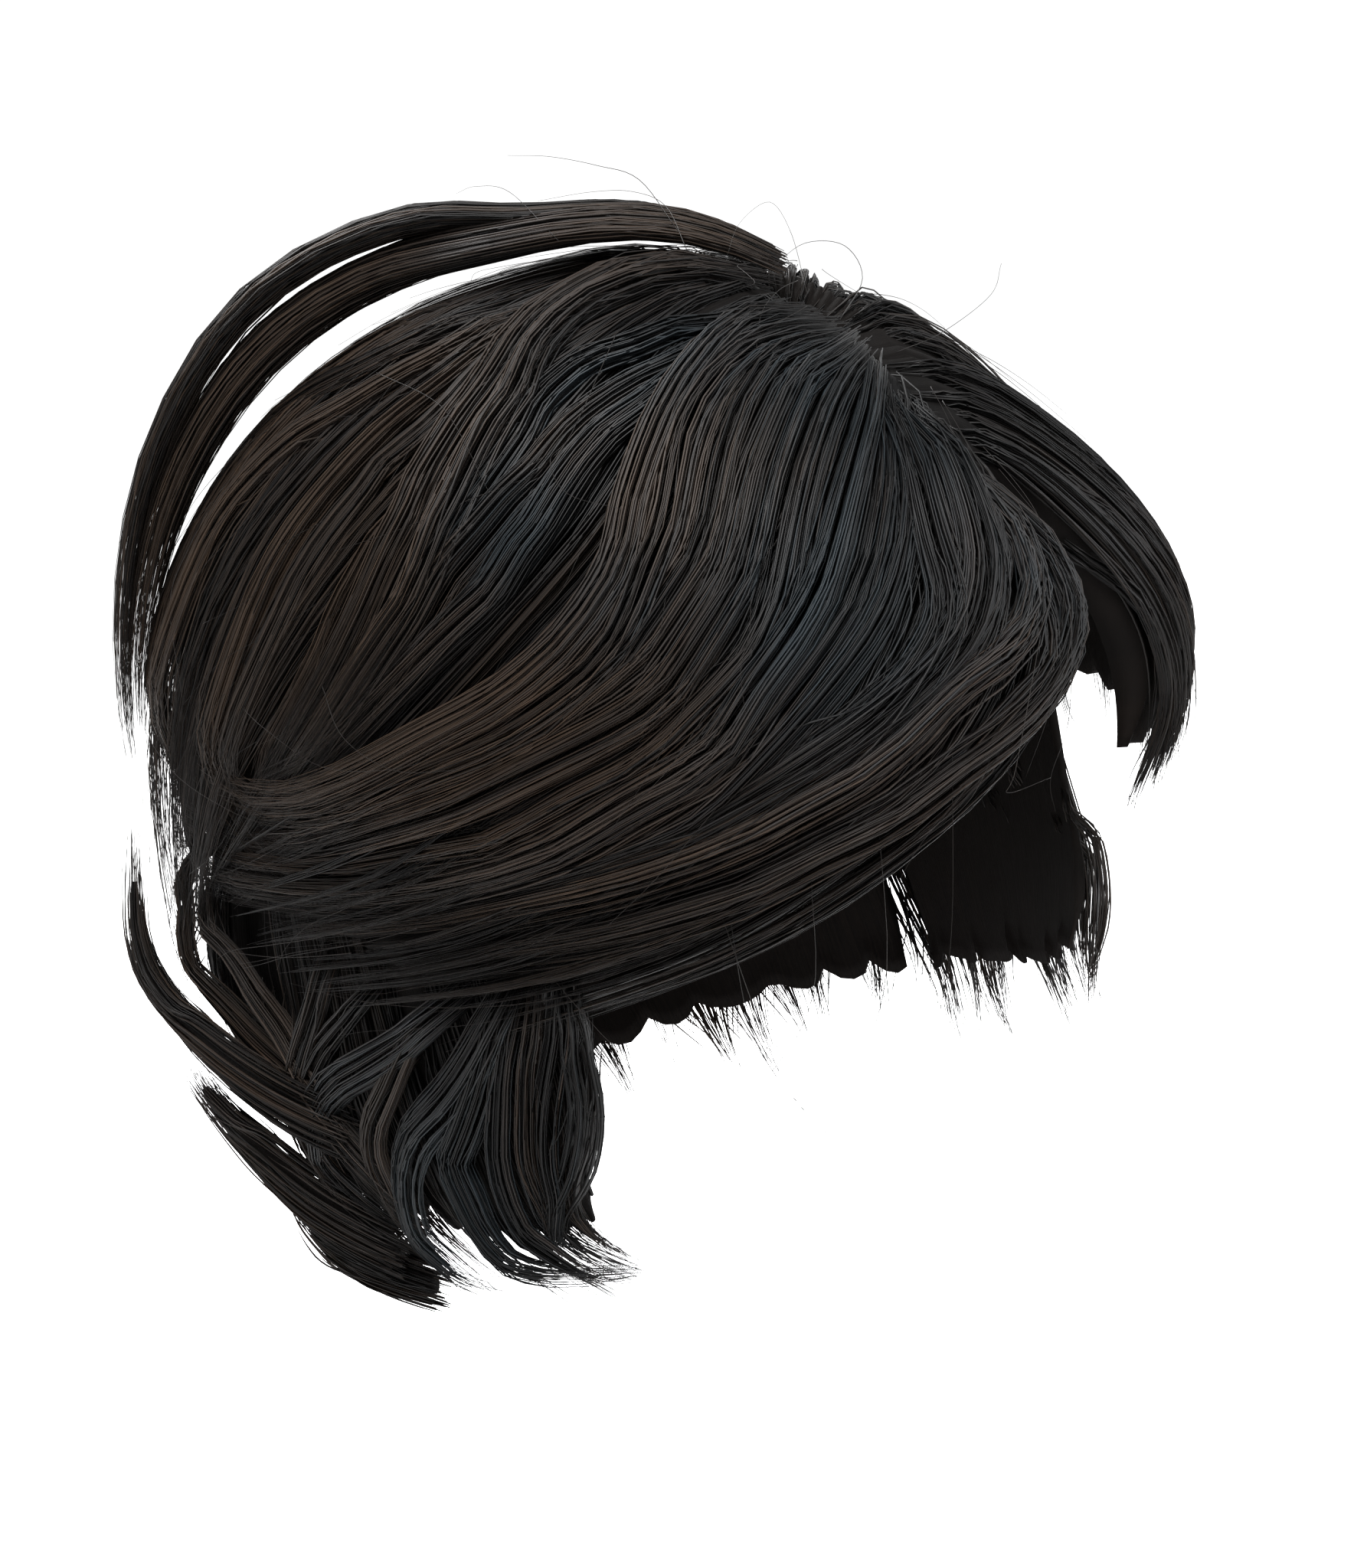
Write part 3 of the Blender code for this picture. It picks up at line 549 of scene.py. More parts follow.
def laid_lock(ground, rng, segs, path, width, tone, blue_sheen=0.0, high=0.0, strands=None, fray=1.0, crest=1.8, thick=2.4, lifts=None, tip=0.0):
    """The strands of one lock that follows path, (longitude, latitude) points from root to tip."""
    x = np.linspace(0, 1, segs + 1)
    lon, lat = np.array([q[0] for q in path], float), np.array([q[1] for q in path], float)
    fine = np.linspace(0, 1, 121)
    centre = curve(form(lon, lat)[0], fine)
    a, b = form(*angles(centre))
    if lifts is None:
        lift = ground.lift(a, b)
        pad = np.concatenate([np.full(7, lift[0]), lift, np.full(7, lift[-1])])
        lift = np.convolve(pad, np.ones(15) / 15, "valid") + high + tip * step(0.75, 1.0, fine)
    else:
        lift = curve(np.array(lifts, float), fine) + high
    n = strands or int(9.5 * max(width))
    # strands lie in a few finer sub-locks
    subs = max(3, int(max(width) / 1.6))
    centres = np.linspace(-0.9, 0.9, subs) + rng.normal(0, 0.08, subs)
    sub = rng.integers(0, subs, n)
    s = centres[sub] + rng.normal(0, 0.13, n)
    sub_tone, sub_sway = rng.normal(0, 0.17, subs), waves(rng, subs, x, 1, 3)
    d = rng.random(n)
    stray = (rng.random(n) < 0.06) * rng.uniform(0.4, 1.0, n) * fray
    t0 = np.where(rng.random(n) < 0.75, rng.uniform(0, 0.05, n), rng.uniform(0.05, 0.45, n))
    t1 = 1.0 - np.abs(rng.normal(0, 0.05, n)) * fray
    t1 = np.where(rng.random(n) < 0.22, t1 - rng.uniform(0.05, 0.4, n), t1)
    t1 = np.maximum(t1, t0 + 0.25)
    t = t0[:, None] + (t1 - t0)[:, None] * x
    i = t * 120
    grid = np.arange(121)
    pick = lambda table: np.stack([np.interp(i, grid, table[:, k]) for k in range(3)], -1)
    c, o, up = pick(a), pick(b), np.interp(i, grid, lift)
    side, _ = frames(c + o * up[..., None], o)
    wide = np.interp(t, np.linspace(0, 1, len(width)), width) / 2
    w1, w2 = waves(rng, n, x, 1, 4), waves(rng, n, x, 1, 4)
    across = s[:, None] * wide + sub_sway[sub] * 0.55 * x + w1 * (0.22 + 2.4 * stray[:, None]) * (0.1 + 0.9 * x)
    up = up + crest * (1 - np.clip(np.abs(s), 0, 1) ** 2)[:, None] * np.clip(wide / 4, 0.3, 1) - (d * thick)[:, None]
    up = up + w2 * (0.14 + 1.3 * stray[:, None]) * x - 3.5 * (1 - step(0.0, 0.12, x))[None, :]
    p = c + side * across[..., None] + o * np.maximum(up, 3.0)[..., None]
    back = p[:, 0] - p[:, 2]
    back /= np.linalg.norm(back, axis=-1, keepdims=True) + 1e-9
    reach = np.where(t0 < 0.05, rng.uniform(-1.0, 3.0, n), 0.0)
    p = p + back[:, None, :] * (reach[:, None] * (1 - step(0.0, 0.12, x))[None, :])[..., None]
    taper = (0.45 + 0.55 * step(0, 0.08, x)) * (1 - 0.88 * step(0.62, 1.0, x))
    r = 0.2 * rng.uniform(0.6, 1.4, n)[:, None] * taper
    # painted shade: deeper strands in the lock and the roots are darker; the rest is the lock's given tone with random
    # variation
    value = np.clip(tone + sub_tone[sub] + rng.normal(0, 0.16, n) - 0.15 * d, 0.03, 1.15)[:, None] * (0.5 + 0.5 * step(0.0, 0.2, x))
    # painted bluish sheen by place on the head, plus the lock's given share and a random share for each strand
    blue_sheen_share = np.clip(painted_blue_sheen(p) + blue_sheen + rng.normal(0, 0.12, (n, 1)), 0, 1)
    return p, o, r, value, blue_sheen_share


def lay_locks(name, ground, seed, table, segs=17):
    """A table of laid locks as one piece."""
    rng = np.random.default_rng(seed)
    made = [laid_lock(ground, rng, segs, **row) for row in table]
    p, o, r, tone, blue_sheen = (np.concatenate([m[k] for m in made]) for k in range(5))
    verts, quads, tris, uv = tubes(p, o, r * 1.15, r * 0.9, 3)
    add_piece(name, verts, quads, tris, uv, {"tone": tone.repeat(3, 1).reshape(-1), "blue_sheen": blue_sheen.repeat(3, 1).reshape(-1)}, STRANDS)


def grow_bundle(name, path, widths, depths, strands, rng, segs=18, radius=0.21, node_name=None, spread=0.0, splay=0.3, tone0=0.42, blue_sheen0=0.1):
    """A standing lock: strands that follow one path, with a dense core that replaces its solid."""
    x = np.linspace(0, 1, segs + 1)
    lon = np.array([p[0] for p in path], float)
    lat = np.array([p[1] for p in path], float)
    lift_pts = np.array([p[2] for p in path], float)
    a, b = form(lon, lat)
    fine = np.linspace(0, 1, 200)
    la, lb = angles(curve(a, fine))
    ga, gb = form(la, lb)
    gl = curve(lift_pts, fine)
    centre_f = ga + gb * gl[:, None]

    def at(t):
        i = np.clip(t, 0, 1) * 199
        return (np.stack([np.interp(i, np.arange(200), centre_f[:, k]) for k in range(3)], -1),
                np.stack([np.interp(i, np.arange(200), gb[:, k]) for k in range(3)], -1))

    t0 = rng.uniform(0, 0.06, strands)
    t1 = np.clip(1.0 - np.abs(rng.normal(0, splay * 0.3, strands)), 0.4, 1.0)
    t = t0[:, None] + (t1 - t0)[:, None] * x
    c, o = at(t)
    side, normal = frames(c, o)
    ang = rng.uniform(0, 2 * math.pi, strands)
    rad = np.sqrt(rng.random(strands))
    wide = np.interp(t, np.linspace(0, 1, len(widths)), widths) / 2
    deep = np.interp(t, np.linspace(0, 1, len(depths)), depths) / 2
    stray = (rng.random(strands) < 0.07) * rng.uniform(0.5, 1.5, strands)
    loose = (spread * x)[None, :] + stray[:, None] * x[None, :]
    p = (c + side * ((np.cos(ang) * rad)[:, None] * wide + waves(rng, strands, x, 1, 4) * (0.25 + loose))[..., None]
         + normal * ((np.sin(ang) * rad)[:, None] * deep + waves(rng, strands, x, 1, 4) * (0.18 + loose * 0.6))[..., None])
    taper = (0.5 + 0.5 * step(0, 0.08, x)) * (1 - 0.85 * step(0.6, 1.0, x))
    r = radius * rng.uniform(0.6, 1.3, strands)[:, None] * taper
    verts, quads, tris, uv = tubes(p, o, r * 1.1, r * 0.9, 3)
    lump = np.sin(ang * 3 + rng.uniform(0, 6)) * 0.2
    tone = np.clip(tone0 + lump + rng.normal(0, 0.2, strands), 0.02, 1.1)
    tone = (tone[:, None] * np.ones(len(x))).repeat(3, 1).reshape(-1)
    # painted bluish sheen by place on the head, with a random share for each strand
    blue_sheen = np.clip(painted_blue_sheen(p) + rng.normal(blue_sheen0, 0.15, (strands, 1)), 0, 1).repeat(3, 1).reshape(-1)
    add_piece(name + "_strands", verts, quads, tris, uv, {"tone": tone, "blue_sheen": blue_sheen}, STRANDS)
    if node_name:
        tt = np.linspace(0.03, 0.82, 40)[None, :]
        c, o = at(tt)
        w = np.interp(tt, np.linspace(0, 1, len(widths)), widths) / 2 * 0.7
        dd = np.interp(tt, np.linspace(0, 1, len(depths)), depths) / 2 * 0.7
        fade = np.sin(math.pi * np.linspace(0.06, 0.96, 40))[None, :] ** 0.4
        verts, quads, tris, uv = tubes(c, o, w * fade, dd * fade, 12)
        # the core gets the painted bluish sheen by place, as the strands do
        add_piece(name + "_core", verts, quads, tris, uv,
                  {"tone": np.full(len(verts), 0.4), "blue_sheen": painted_blue_sheen(verts)}, SHADED_BODY, replaces=node_name)


def lay_strays(name, seed, guides, radius=0.085):
    """Single stray hairs, each given by its own (longitude, latitude, lift) points."""
    rng = np.random.default_rng(seed)
    x = np.linspace(0, 1, 25)
    lines, outs = [], []
    for guide in guides:
        g = np.array(guide, float)
        a, b = form(g[:, 0], g[:, 1])
        lines.append(curve(a + b * g[:, 2:3], x))
        outs.append(curve(b, x))
    p, o = np.array(lines), np.array(outs)
    r = radius * rng.uniform(0.7, 1.2, (len(p), 1)) * (1 - 0.6 * x)[None, :]
    verts, quads, tris, uv = tubes(p, o, r, r, 3)
    tone = np.repeat(rng.uniform(0.2, 0.8, len(p)), len(x) * 3)
    # every stray gets half the painted bluish sheen
    add_piece(name, verts, quads, tris, uv, {"tone": tone, "blue_sheen": np.full(len(verts), 0.5)}, STRANDS)


def strays_over(ground, rng, count, reach=26.0):
    """Guides of short stray hairs that leave the surface all over the wig."""
    made = []
    for sec, share in ((SEC["crown_hair"], 0.42), (SEC["fringe"], 0.2), (SEC["left_fringe"], 0.06), (SEC["left_side_hair"], 0.12),
                       (SEC["right_sideburn"], 0.05), (SEC["left_sideburn"], 0.04), (SEC["nape_hair"], 0.11)):
        for _ in range(int(count * share)):
            u, t = rng.uniform(0.02, 0.98), rng.uniform(0.02, 0.9)
            du, dt = rng.normal(0, 0.10), rng.uniform(0.10, 0.30)
            rise = rng.uniform(1.0, 5.5)
            k = np.linspace(0, 1, 5)
            uu = np.clip(u + du * k ** 1.6 + rng.normal(0, 0.012, 5) * k, 0, 1)
            tt = np.minimum(t + dt * k, 1.1)
            lo, la = angles(sec.sample(sec.a, uu, tt))
            out = sec.sample(sec.outer, uu, tt)
            lift = out - 1.5 + (rise + 1.5) * k ** 1.3 * (1 - 0.5 * k * rng.random()) + 0.5
            made.append(np.stack([lo, la, lift], -1))
    return made


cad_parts["cap"].data.materials.clear()
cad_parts["cap"].data.materials.append(CAP)

GROW = (
    # name, slot, locks, strands, flick, seed, reach of the body, shade, drop
    ("crown_hair", "hair_dark", 46, 1650, 1.0, 11, 0.92, (0.35, 0.55, 0.9, 1, 1, 1, 1), (2.0, 1.2, 0.6, 0, 0, 0, 0)),
    ("fringe", "hair_brown", 34, 800, 0.6, 12, 0.92, (0.4, 0.35, 0.35, 0.4, 0.5), (2.0, 1.5, 1.5, 1.2, 0.8)),
    ("left_fringe", "hair_dark", 14, 620, 0.0, 13, 0.84, (0.55, 0.6, 0.8), (0, 0, 0)),
    ("left_side_hair", "hair_brown", 22, 860, 0.8, 14, 0.86, (0.9, 1, 1), (0, 0, 0)),
    ("right_sideburn", "hair_dark", 15, 330, 1.0, 15, 0.8, (0.35, 0.35, 0.4, 0.5), (1.0, 1.0, 1.0, 0.5)),
    ("left_sideburn", "hair_dark", 13, 420, 1.0, 16, 0.8, (0.8, 0.8, 0.9, 1), (0, 0, 0, 0)),
    ("nape_hair", "hair_dark", 30, 1150, 3.0, 17, 0.8, (0.7, 0.8, 1, 1, 1, 1, 1), (0.5, 0, 0, 0, 0, 0, 0)),
)
SEC = {row[0]: Section(SECTIONS[row[0]]) for row in GROW}
for sec_name, slot, locks, strands, flick, seed, reach, shade, drop in GROW:
    rng = np.random.default_rng(seed)
    section_body(sec_name, SEC[sec_name], rng, locks, reach=reach)
    grow_section(sec_name, SEC[sec_name], rng, locks, strands, flick=flick, shade=shade, drop=drop)

GROUND = Ground(list(SEC.values()))

CROWN_LOCKS = (
    dict(width=(5, 8, 10, 9), tone=0.40, high=-0.6, path=((-98, 79), (-118, 70), (-128, 59), (-134, 49), (-132, 41), (-130, 34), (-129, 27), (-127, 19), (-126, 13), (-124, 6), (-122, 0), (-121, -8))),
    dict(width=(4, 8, 9, 8), tone=0.50, high=-0.3, path=((-72, 79), (-89, 70), (-98, 64), (-110, 58), (-126, 51), (-133, 43), (-132, 38), (-130, 32), (-129, 27), (-128, 20), (-126, 13), (-125, 6), (-123, -1), (-122, -7))),
    dict(width=(4, 8, 9, 7), tone=0.62, high=0.1, path=((-57, 74), (-73, 68), (-82, 61), (-90, 57), (-98, 52), (-106, 48), (-111, 43), (-114, 38), (-115, 33), (-115, 27), (-116, 21), (-120, 13), (-125, 5), (-120, -2), (-108, -5))),
    dict(width=(4, 7, 9, 7), tone=0.55, high=0.3, path=((-51, 71), (-66, 66), (-73, 59), (-79, 54), (-84, 50), (-88, 45), (-92, 39), (-94, 35), (-96, 30), (-98, 23), (-100, 17), (-103, 10), (-104, 4), (-99, -1), (-91, -3))),
    dict(width=(4, 6, 8, 6), tone=0.58, blue_sheen=0.25, high=0.0, path=((-50, 69), (-61, 63), (-68, 57), (-72, 51), (-76, 47), (-80, 44), (-82, 40), (-85, 36), (-88, 31), (-90, 26), (-93, 20), (-97, 13), (-99, 8), (-97, 4), (-90, 1))),
    dict(width=(3, 4, 5, 3), tone=0.35, high=0.2, path=((-49, 68), (-58, 61), (-63, 55), (-67, 49), (-70, 44), (-74, 38), (-77, 35), (-79, 31), (-81, 27), (-83, 22), (-87, 16), (-91, 11), (-93, 7))),
    dict(width=(5, 7, 8, 6), tone=0.62, blue_sheen=0.12, high=1.6, path=((27, 68), (8, 75), (-28, 74), (-46, 70), (-56, 66), (-61, 61), (-63, 56), (-65, 52), (-67, 49), (-69, 45), (-71, 41), (-72, 37), (-74, 33), (-76, 28), (-78, 24), (-81, 19), (-85, 14), (-88, 9))),
    dict(width=(5, 7, 8, 6), tone=0.66, blue_sheen=0.18, high=1.4, path=((22, 66), (-1, 72), (-29, 70), (-45, 67), (-54, 62), (-58, 57), (-59, 52), (-62, 48), (-64, 44), (-66, 39), (-68, 35), (-70, 29), (-73, 25), (-77, 20), (-82, 14), (-87, 9))),
    dict(width=(4, 6, 7, 6), tone=0.48, blue_sheen=0.45, high=-0.6, path=((18, 63), (-14, 61), (-28, 60), (-38, 58), (-46, 57), (-52, 54), (-56, 51), (-58, 47), (-61, 43), (-64, 39), (-67, 35), (-69, 31), (-72, 26), (-74, 22), (-80, 16), (-86, 10))),
    dict(width=(3, 5, 8, 6), tone=0.58, blue_sheen=0.1, high=0.0, path=((18, 60), (-12, 58), (-29, 54), (-38, 52), (-46, 49), (-51, 46), (-55, 42), (-59, 39), (-63, 35), (-67, 31), (-70, 26), (-73, 22), (-78, 16), (-86, 10))),
    dict(width=(6, 9, 7), tone=0.45, high=0.0, path=((-117, -9), (-114, -16), (-111, -23), (-105, -29), (-100, -35), (-96, -41), (-89, -48), (-83, -52))),
    dict(width=(6, 8, 7), tone=0.40, high=0.5, path=((-121, -4), (-121, -10), (-121, -17), (-120, -24), (-112, -30), (-102, -34), (-96, -39), (-90, -45), (-83, -51))),
)
FRINGE_LOCKS = (
    dict(width=(4, 8, 9, 7), tone=0.50, blue_sheen=0.35, high=-1.2, path=((15, 58), (-13, 56), (-29, 53), (-38, 49), (-45, 46), (-51, 41), (-55, 36), (-58, 33), (-61, 29), (-65, 26), (-70, 22), (-76, 17), (-84, 11), (-94, 7))),
    dict(width=(5, 7, 8, 8, 6), tone=0.80, blue_sheen=0.05, high=1.4, path=((15, 58), (-5, 60), (-20, 56), (-30, 51), (-36, 46), (-40, 41), (-43, 36), (-45, 31), (-48, 27), (-52, 23), (-56, 20), (-61, 17), (-68, 14), (-77, 10), (-86, 7), (-96, 6), (-106, 8))),
    dict(width=(5, 9, 9, 8, 6), tone=0.62, blue_sheen=0.05, high=0.8, path=((15, 56), (-5, 56), (-19, 53), (-28, 49), (-34, 44), (-37, 39), (-40, 33), (-43, 29), (-46, 24), (-50, 20), (-55, 17), (-61, 14), (-70, 11), (-79, 7), (-89, 5), (-101, 4), (-111, 7))),
    dict(width=(5, 8, 8, 7, 6), tone=0.62, high=0.2, path=((18, 55), (-2, 54), (-15, 51), (-25, 45), (-31, 38), (-35, 31), (-40, 26), (-45, 21), (-50, 18), (-56, 14), (-64, 11), (-74, 8), (-84, 5), (-95, 2), (-108, 3), (-125, 5))),
    dict(width=(5, 8, 9, 7, 5), tone=0.70, blue_sheen=0.05, high=1.0, path=((19, 54), (0, 51), (-12, 48), (-21, 42), (-27, 36), (-32, 28), (-38, 22), (-43, 17), (-49, 14), (-57, 11), (-67, 7), (-78, 4), (-88, 1), (-101, 0), (-121, 0))),
    dict(width=(5, 8, 8, 7, 5), tone=0.58, high=0.3, path=((17, 52), (-2, 48), (-15, 41), (-23, 33), (-28, 25), (-33, 19), (-40, 14), (-46, 10), (-54, 7), (-63, 3), (-74, 1), (-86, -2), (-99, -3), (-117, -3), (-124, 2))),
    dict(width=(5, 9, 9, 7, 5), tone=0.64, blue_sheen=0.25, high=1.0, path=((14, 50), (-4, 42), (-15, 34), (-22, 26), (-27, 21), (-33, 16), (-39, 10), (-47, 7), (-55, 3), (-64, 0), (-75, -3), (-88, -5), (-103, -6), (-123, -6), (-123, 1))),
    dict(width=(4, 7, 7, 6, 5), tone=0.45, high=0.0, path=((11, 48), (-4, 39), (-12, 32), (-19, 24), (-25, 19), (-30, 15), (-36, 10), (-44, 6), (-52, 2), (-62, -1), (-74, -4), (-86, -7), (-101, -8), (-122, -10))),
    dict(width=(5, 8, 7, 6, 5), tone=0.42, blue_sheen=0.35, high=-0.2, path=((9, 46), (-4, 36), (-11, 28), (-17, 22), (-22, 18), (-29, 13), (-36, 8), (-42, 4), (-51, 1), (-61, -2), (-74, -6), (-88, -8), (-103, -10))),
    dict(width=(4, 7, 8, 7, 5), tone=0.55, blue_sheen=0.1, high=0.8, path=((6, 40), (8, 32), (9, 25), (6, 18), (-2, 14), (-11, 12), (-17, 9), (-24, 6), (-31, 4), (-37, 2), (-45, 0), (-53, -2), (-61, -4), (-72, -7), (-84, -9), (-97, -11))),
    dict(width=(4, 6, 6, 5), tone=0.30, high=0.0, path=((6, 42), (6, 34), (5, 27), (1, 21), (-6, 16), (-13, 13), (-20, 10), (-28, 7), (-35, 5), (-42, 2), (-51, 0), (-60, -3), (-72, -6), (-86, -8))),
    dict(width=(4, 6, 7, 6, 5), tone=0.42, blue_sheen=0.1, high=0.4, fray=1.5, path=((6, 38), (12, 29), (15, 20), (13, 14), (4, 9), (-5, 6), (-13, 4), (-21, 1), (-29, -1), (-37, -4), (-46, -6), (-55, -8), (-65, -10), (-77, -13), (-90, -15))),
    dict(width=(3, 4, 5, 5, 4), tone=0.35, high=-0.5, fray=2.0, path=((4, 35), (7, 26), (8, 17), (5, 11), (-3, 8), (-12, 4), (-21, 1), (-30, -2), (-39, -6), (-48, -9), (-58, -11), (-69, -13), (-81, -16))),
    dict(width=(4, 6, 6, 4), strands=30, tone=0.35, high=-1.0, fray=2.5, path=((-1, 32), (0, 23), (-2, 15), (-9, 9), (-17, 4), (-26, 0), (-35, -4), (-44, -8), (-54, -11), (-63, -14), (-73, -17))),
    dict(width=(6, 11, 11, 7), strands=80, tone=0.34, blue_sheen=0.2, high=0.3, fray=2.0, path=((7, 45), (-2, 36), (-6, 28), (-8, 20), (-13, 15), (-21, 10), (-29, 7), (-37, 4), (-45, 1), (-55, -3))),
    dict(width=(6, 11, 11, 7), strands=80, tone=0.36, blue_sheen=0.25, high=0.5, fray=2.0, path=((9, 44), (5, 36), (2, 29), (-1, 23), (-7, 17), (-15, 13), (-23, 10), (-31, 7), (-39, 4))),
)
SIDEBURN_LOCKS = (
    dict(width=(5, 7, 7, 4), tone=0.60, blue_sheen=0.5, high=1.0, path=((-72, -17), (-77, -21), (-82, -25), (-88, -29), (-94, -33), (-99, -39), (-102, -45), (-102, -49), (-98, -52), (-92, -54))),
    dict(width=(5, 8, 8, 6, 4), tone=0.58, blue_sheen=0.5, high=1.2, path=((-66, -16), (-69, -21), (-73, -27), (-77, -32), (-82, -37), (-85, -43), (-86, -49), (-86, -53), (-84, -56), (-82, -58), (-76, -59))),
    dict(width=(5, 7, 8, 6, 3), tone=0.50, blue_sheen=0.5, high=0.8, tip=1.0, path=((-68, -16), (-70, -23), (-73, -30), (-76, -36), (-78, -40), (-77, -45), (-76, -49), (-74, -53), (-71, -54), (-66, -54), (-57, -53))),
    dict(width=(4, 6, 7, 5, 2), tone=0.45, blue_sheen=0.4, high=0.6, tip=1.5, path=((-65, -16), (-67, -22), (-69, -28), (-70, -33), (-71, -38), (-71, -43), (-70, -48), (-68, -50), (-66, -52), (-63, -54), (-58, -53))),
    dict(width=(3, 4, 4, 2), tone=0.42, blue_sheen=-0.2, high=0.3, path=((-63, -15), (-64, -21), (-66, -26), (-67, -31), (-68, -37), (-68, -41), (-67, -46), (-67, -50))),
    dict(width=(4, 6, 6, 3), tone=0.30, blue_sheen=0.6, high=0.0, path=((-59, -15), (-59, -20), (-60, -25), (-60, -31), (-61, -36), (-63, -41), (-66, -46), (-67, -51))),
    dict(width=(4, 5, 5, 3), tone=0.28, blue_sheen=0.5, high=0.2, path=((-60, -15), (-61, -20), (-63, -26), (-65, -33), (-66, -39), (-66, -44), (-67, -49), (-66, -52))),
    dict(width=(5, 7, 7, 5), tone=0.42, blue_sheen=0.3, high=0.8, path=((-92, -14), (-96, -22), (-100, -29), (-103, -36), (-102, -43), (-100, -48), (-96, -51), (-91, -53), (-86, -54))),
    dict(width=(3, 5, 6, 4), tone=0.46, blue_sheen=0.0, high=0.8, path=((-75, -18), (-80, -23), (-83, -27), (-86, -32), (-89, -37), (-90, -42), (-89, -47), (-88, -51), (-84, -54))),
    dict(width=(3, 5, 6, 4), tone=0.38, blue_sheen=0.3, high=0.4, path=((-86, -18), (-91, -23), (-97, -29), (-102, -37), (-104, -43), (-101, -47), (-95, -50), (-90, -52))),
)
lay_locks("crown_laid_locks", GROUND, 31, CROWN_LOCKS)
lay_locks("fringe_laid_locks", GROUND, 32, FRINGE_LOCKS)
lay_locks("sideburn_laid_locks", GROUND, 33, SIDEBURN_LOCKS, segs=15)

BUNDLES = (
    dict(name="raised_lock_upper", slot="hair_dark", seed=21, strands=300, tone0=0.34,
         path=((52, 68, 12.0), (75, 80, 18.0), (-168, 83, 20.6), (-141, 72, 28.0), (-132, 55, 33.4), (-129, 37, 31.6), (-126, 20, 28.2), (-124, 4, 26.0)),
         widths=(20, 24, 24, 17, 13, 12, 10, 5), depths=(4, 4, 5.0, 6.0, 6.0, 5.5, 4, 2)),
    dict(name="raised_lock_lower", slot="hair_brown", seed=22, strands=440, tone0=0.52,
         path=((46, 66, 12.0), (35, 80, 16.8), (-125, 82, 17.9), (-139, 68, 21.6), (-133, 53, 24.9), (-130, 38, 25.3), (-127, 24, 24.8), (-125, 8, 24.0)),
         widths=(22, 26, 26, 19, 16, 15, 13, 6), depths=(4, 5.5, 7.5, 9.0, 9.5, 8.5, 6.5, 3)),
    dict(name="nape_flick_upper", slot="hair_dark", seed=23, strands=170, tone0=0.30,
         path=((-92, -40, 14.0), (-106, -36, 20.0), (-116, -30, 27.0), (-118.5, -23, 32.0), (-119, -16, 33.0), (-120.5, -8, 30.5), (-121, 2, 27.0)),
         widths=(14, 15, 14, 12, 10, 8, 5), depths=(5, 6, 6, 6, 5, 4, 3)),
    dict(name="nape_flick_middle", slot="hair_brown", seed=24, strands=180, tone0=0.34,
         path=((-90, -57, 14.0), (-104, -52, 19.0), (-113, -47, 23.5), (-116.5, -40, 28.5), (-117, -33, 31.5)),
         widths=(15, 17, 16, 13, 8), depths=(6, 7, 7, 6, 5)),
    dict(name="nape_flick_lower", slot="hair_dark", seed=25, strands=150, tone0=0.30,
         path=((-88, -62, 11.0), (-100, -61, 14.0), (-108, -60, 16.5), (-113, -57, 19.0), (-115.5, -53, 20.5)),
         widths=(13, 15, 15, 13, 8), depths=(6, 7, 7, 6, 4)),
)
for b in BUNDLES:
    grow_bundle(b["name"], b["path"], b["widths"], b["depths"], b["strands"],
                np.random.default_rng(b["seed"]), node_name=b["name"], tone0=b["tone0"],
                spread=0.5 if "flick" in b["name"] else 0.2, splay=0.9 if "flick" in b["name"] else 0.5)

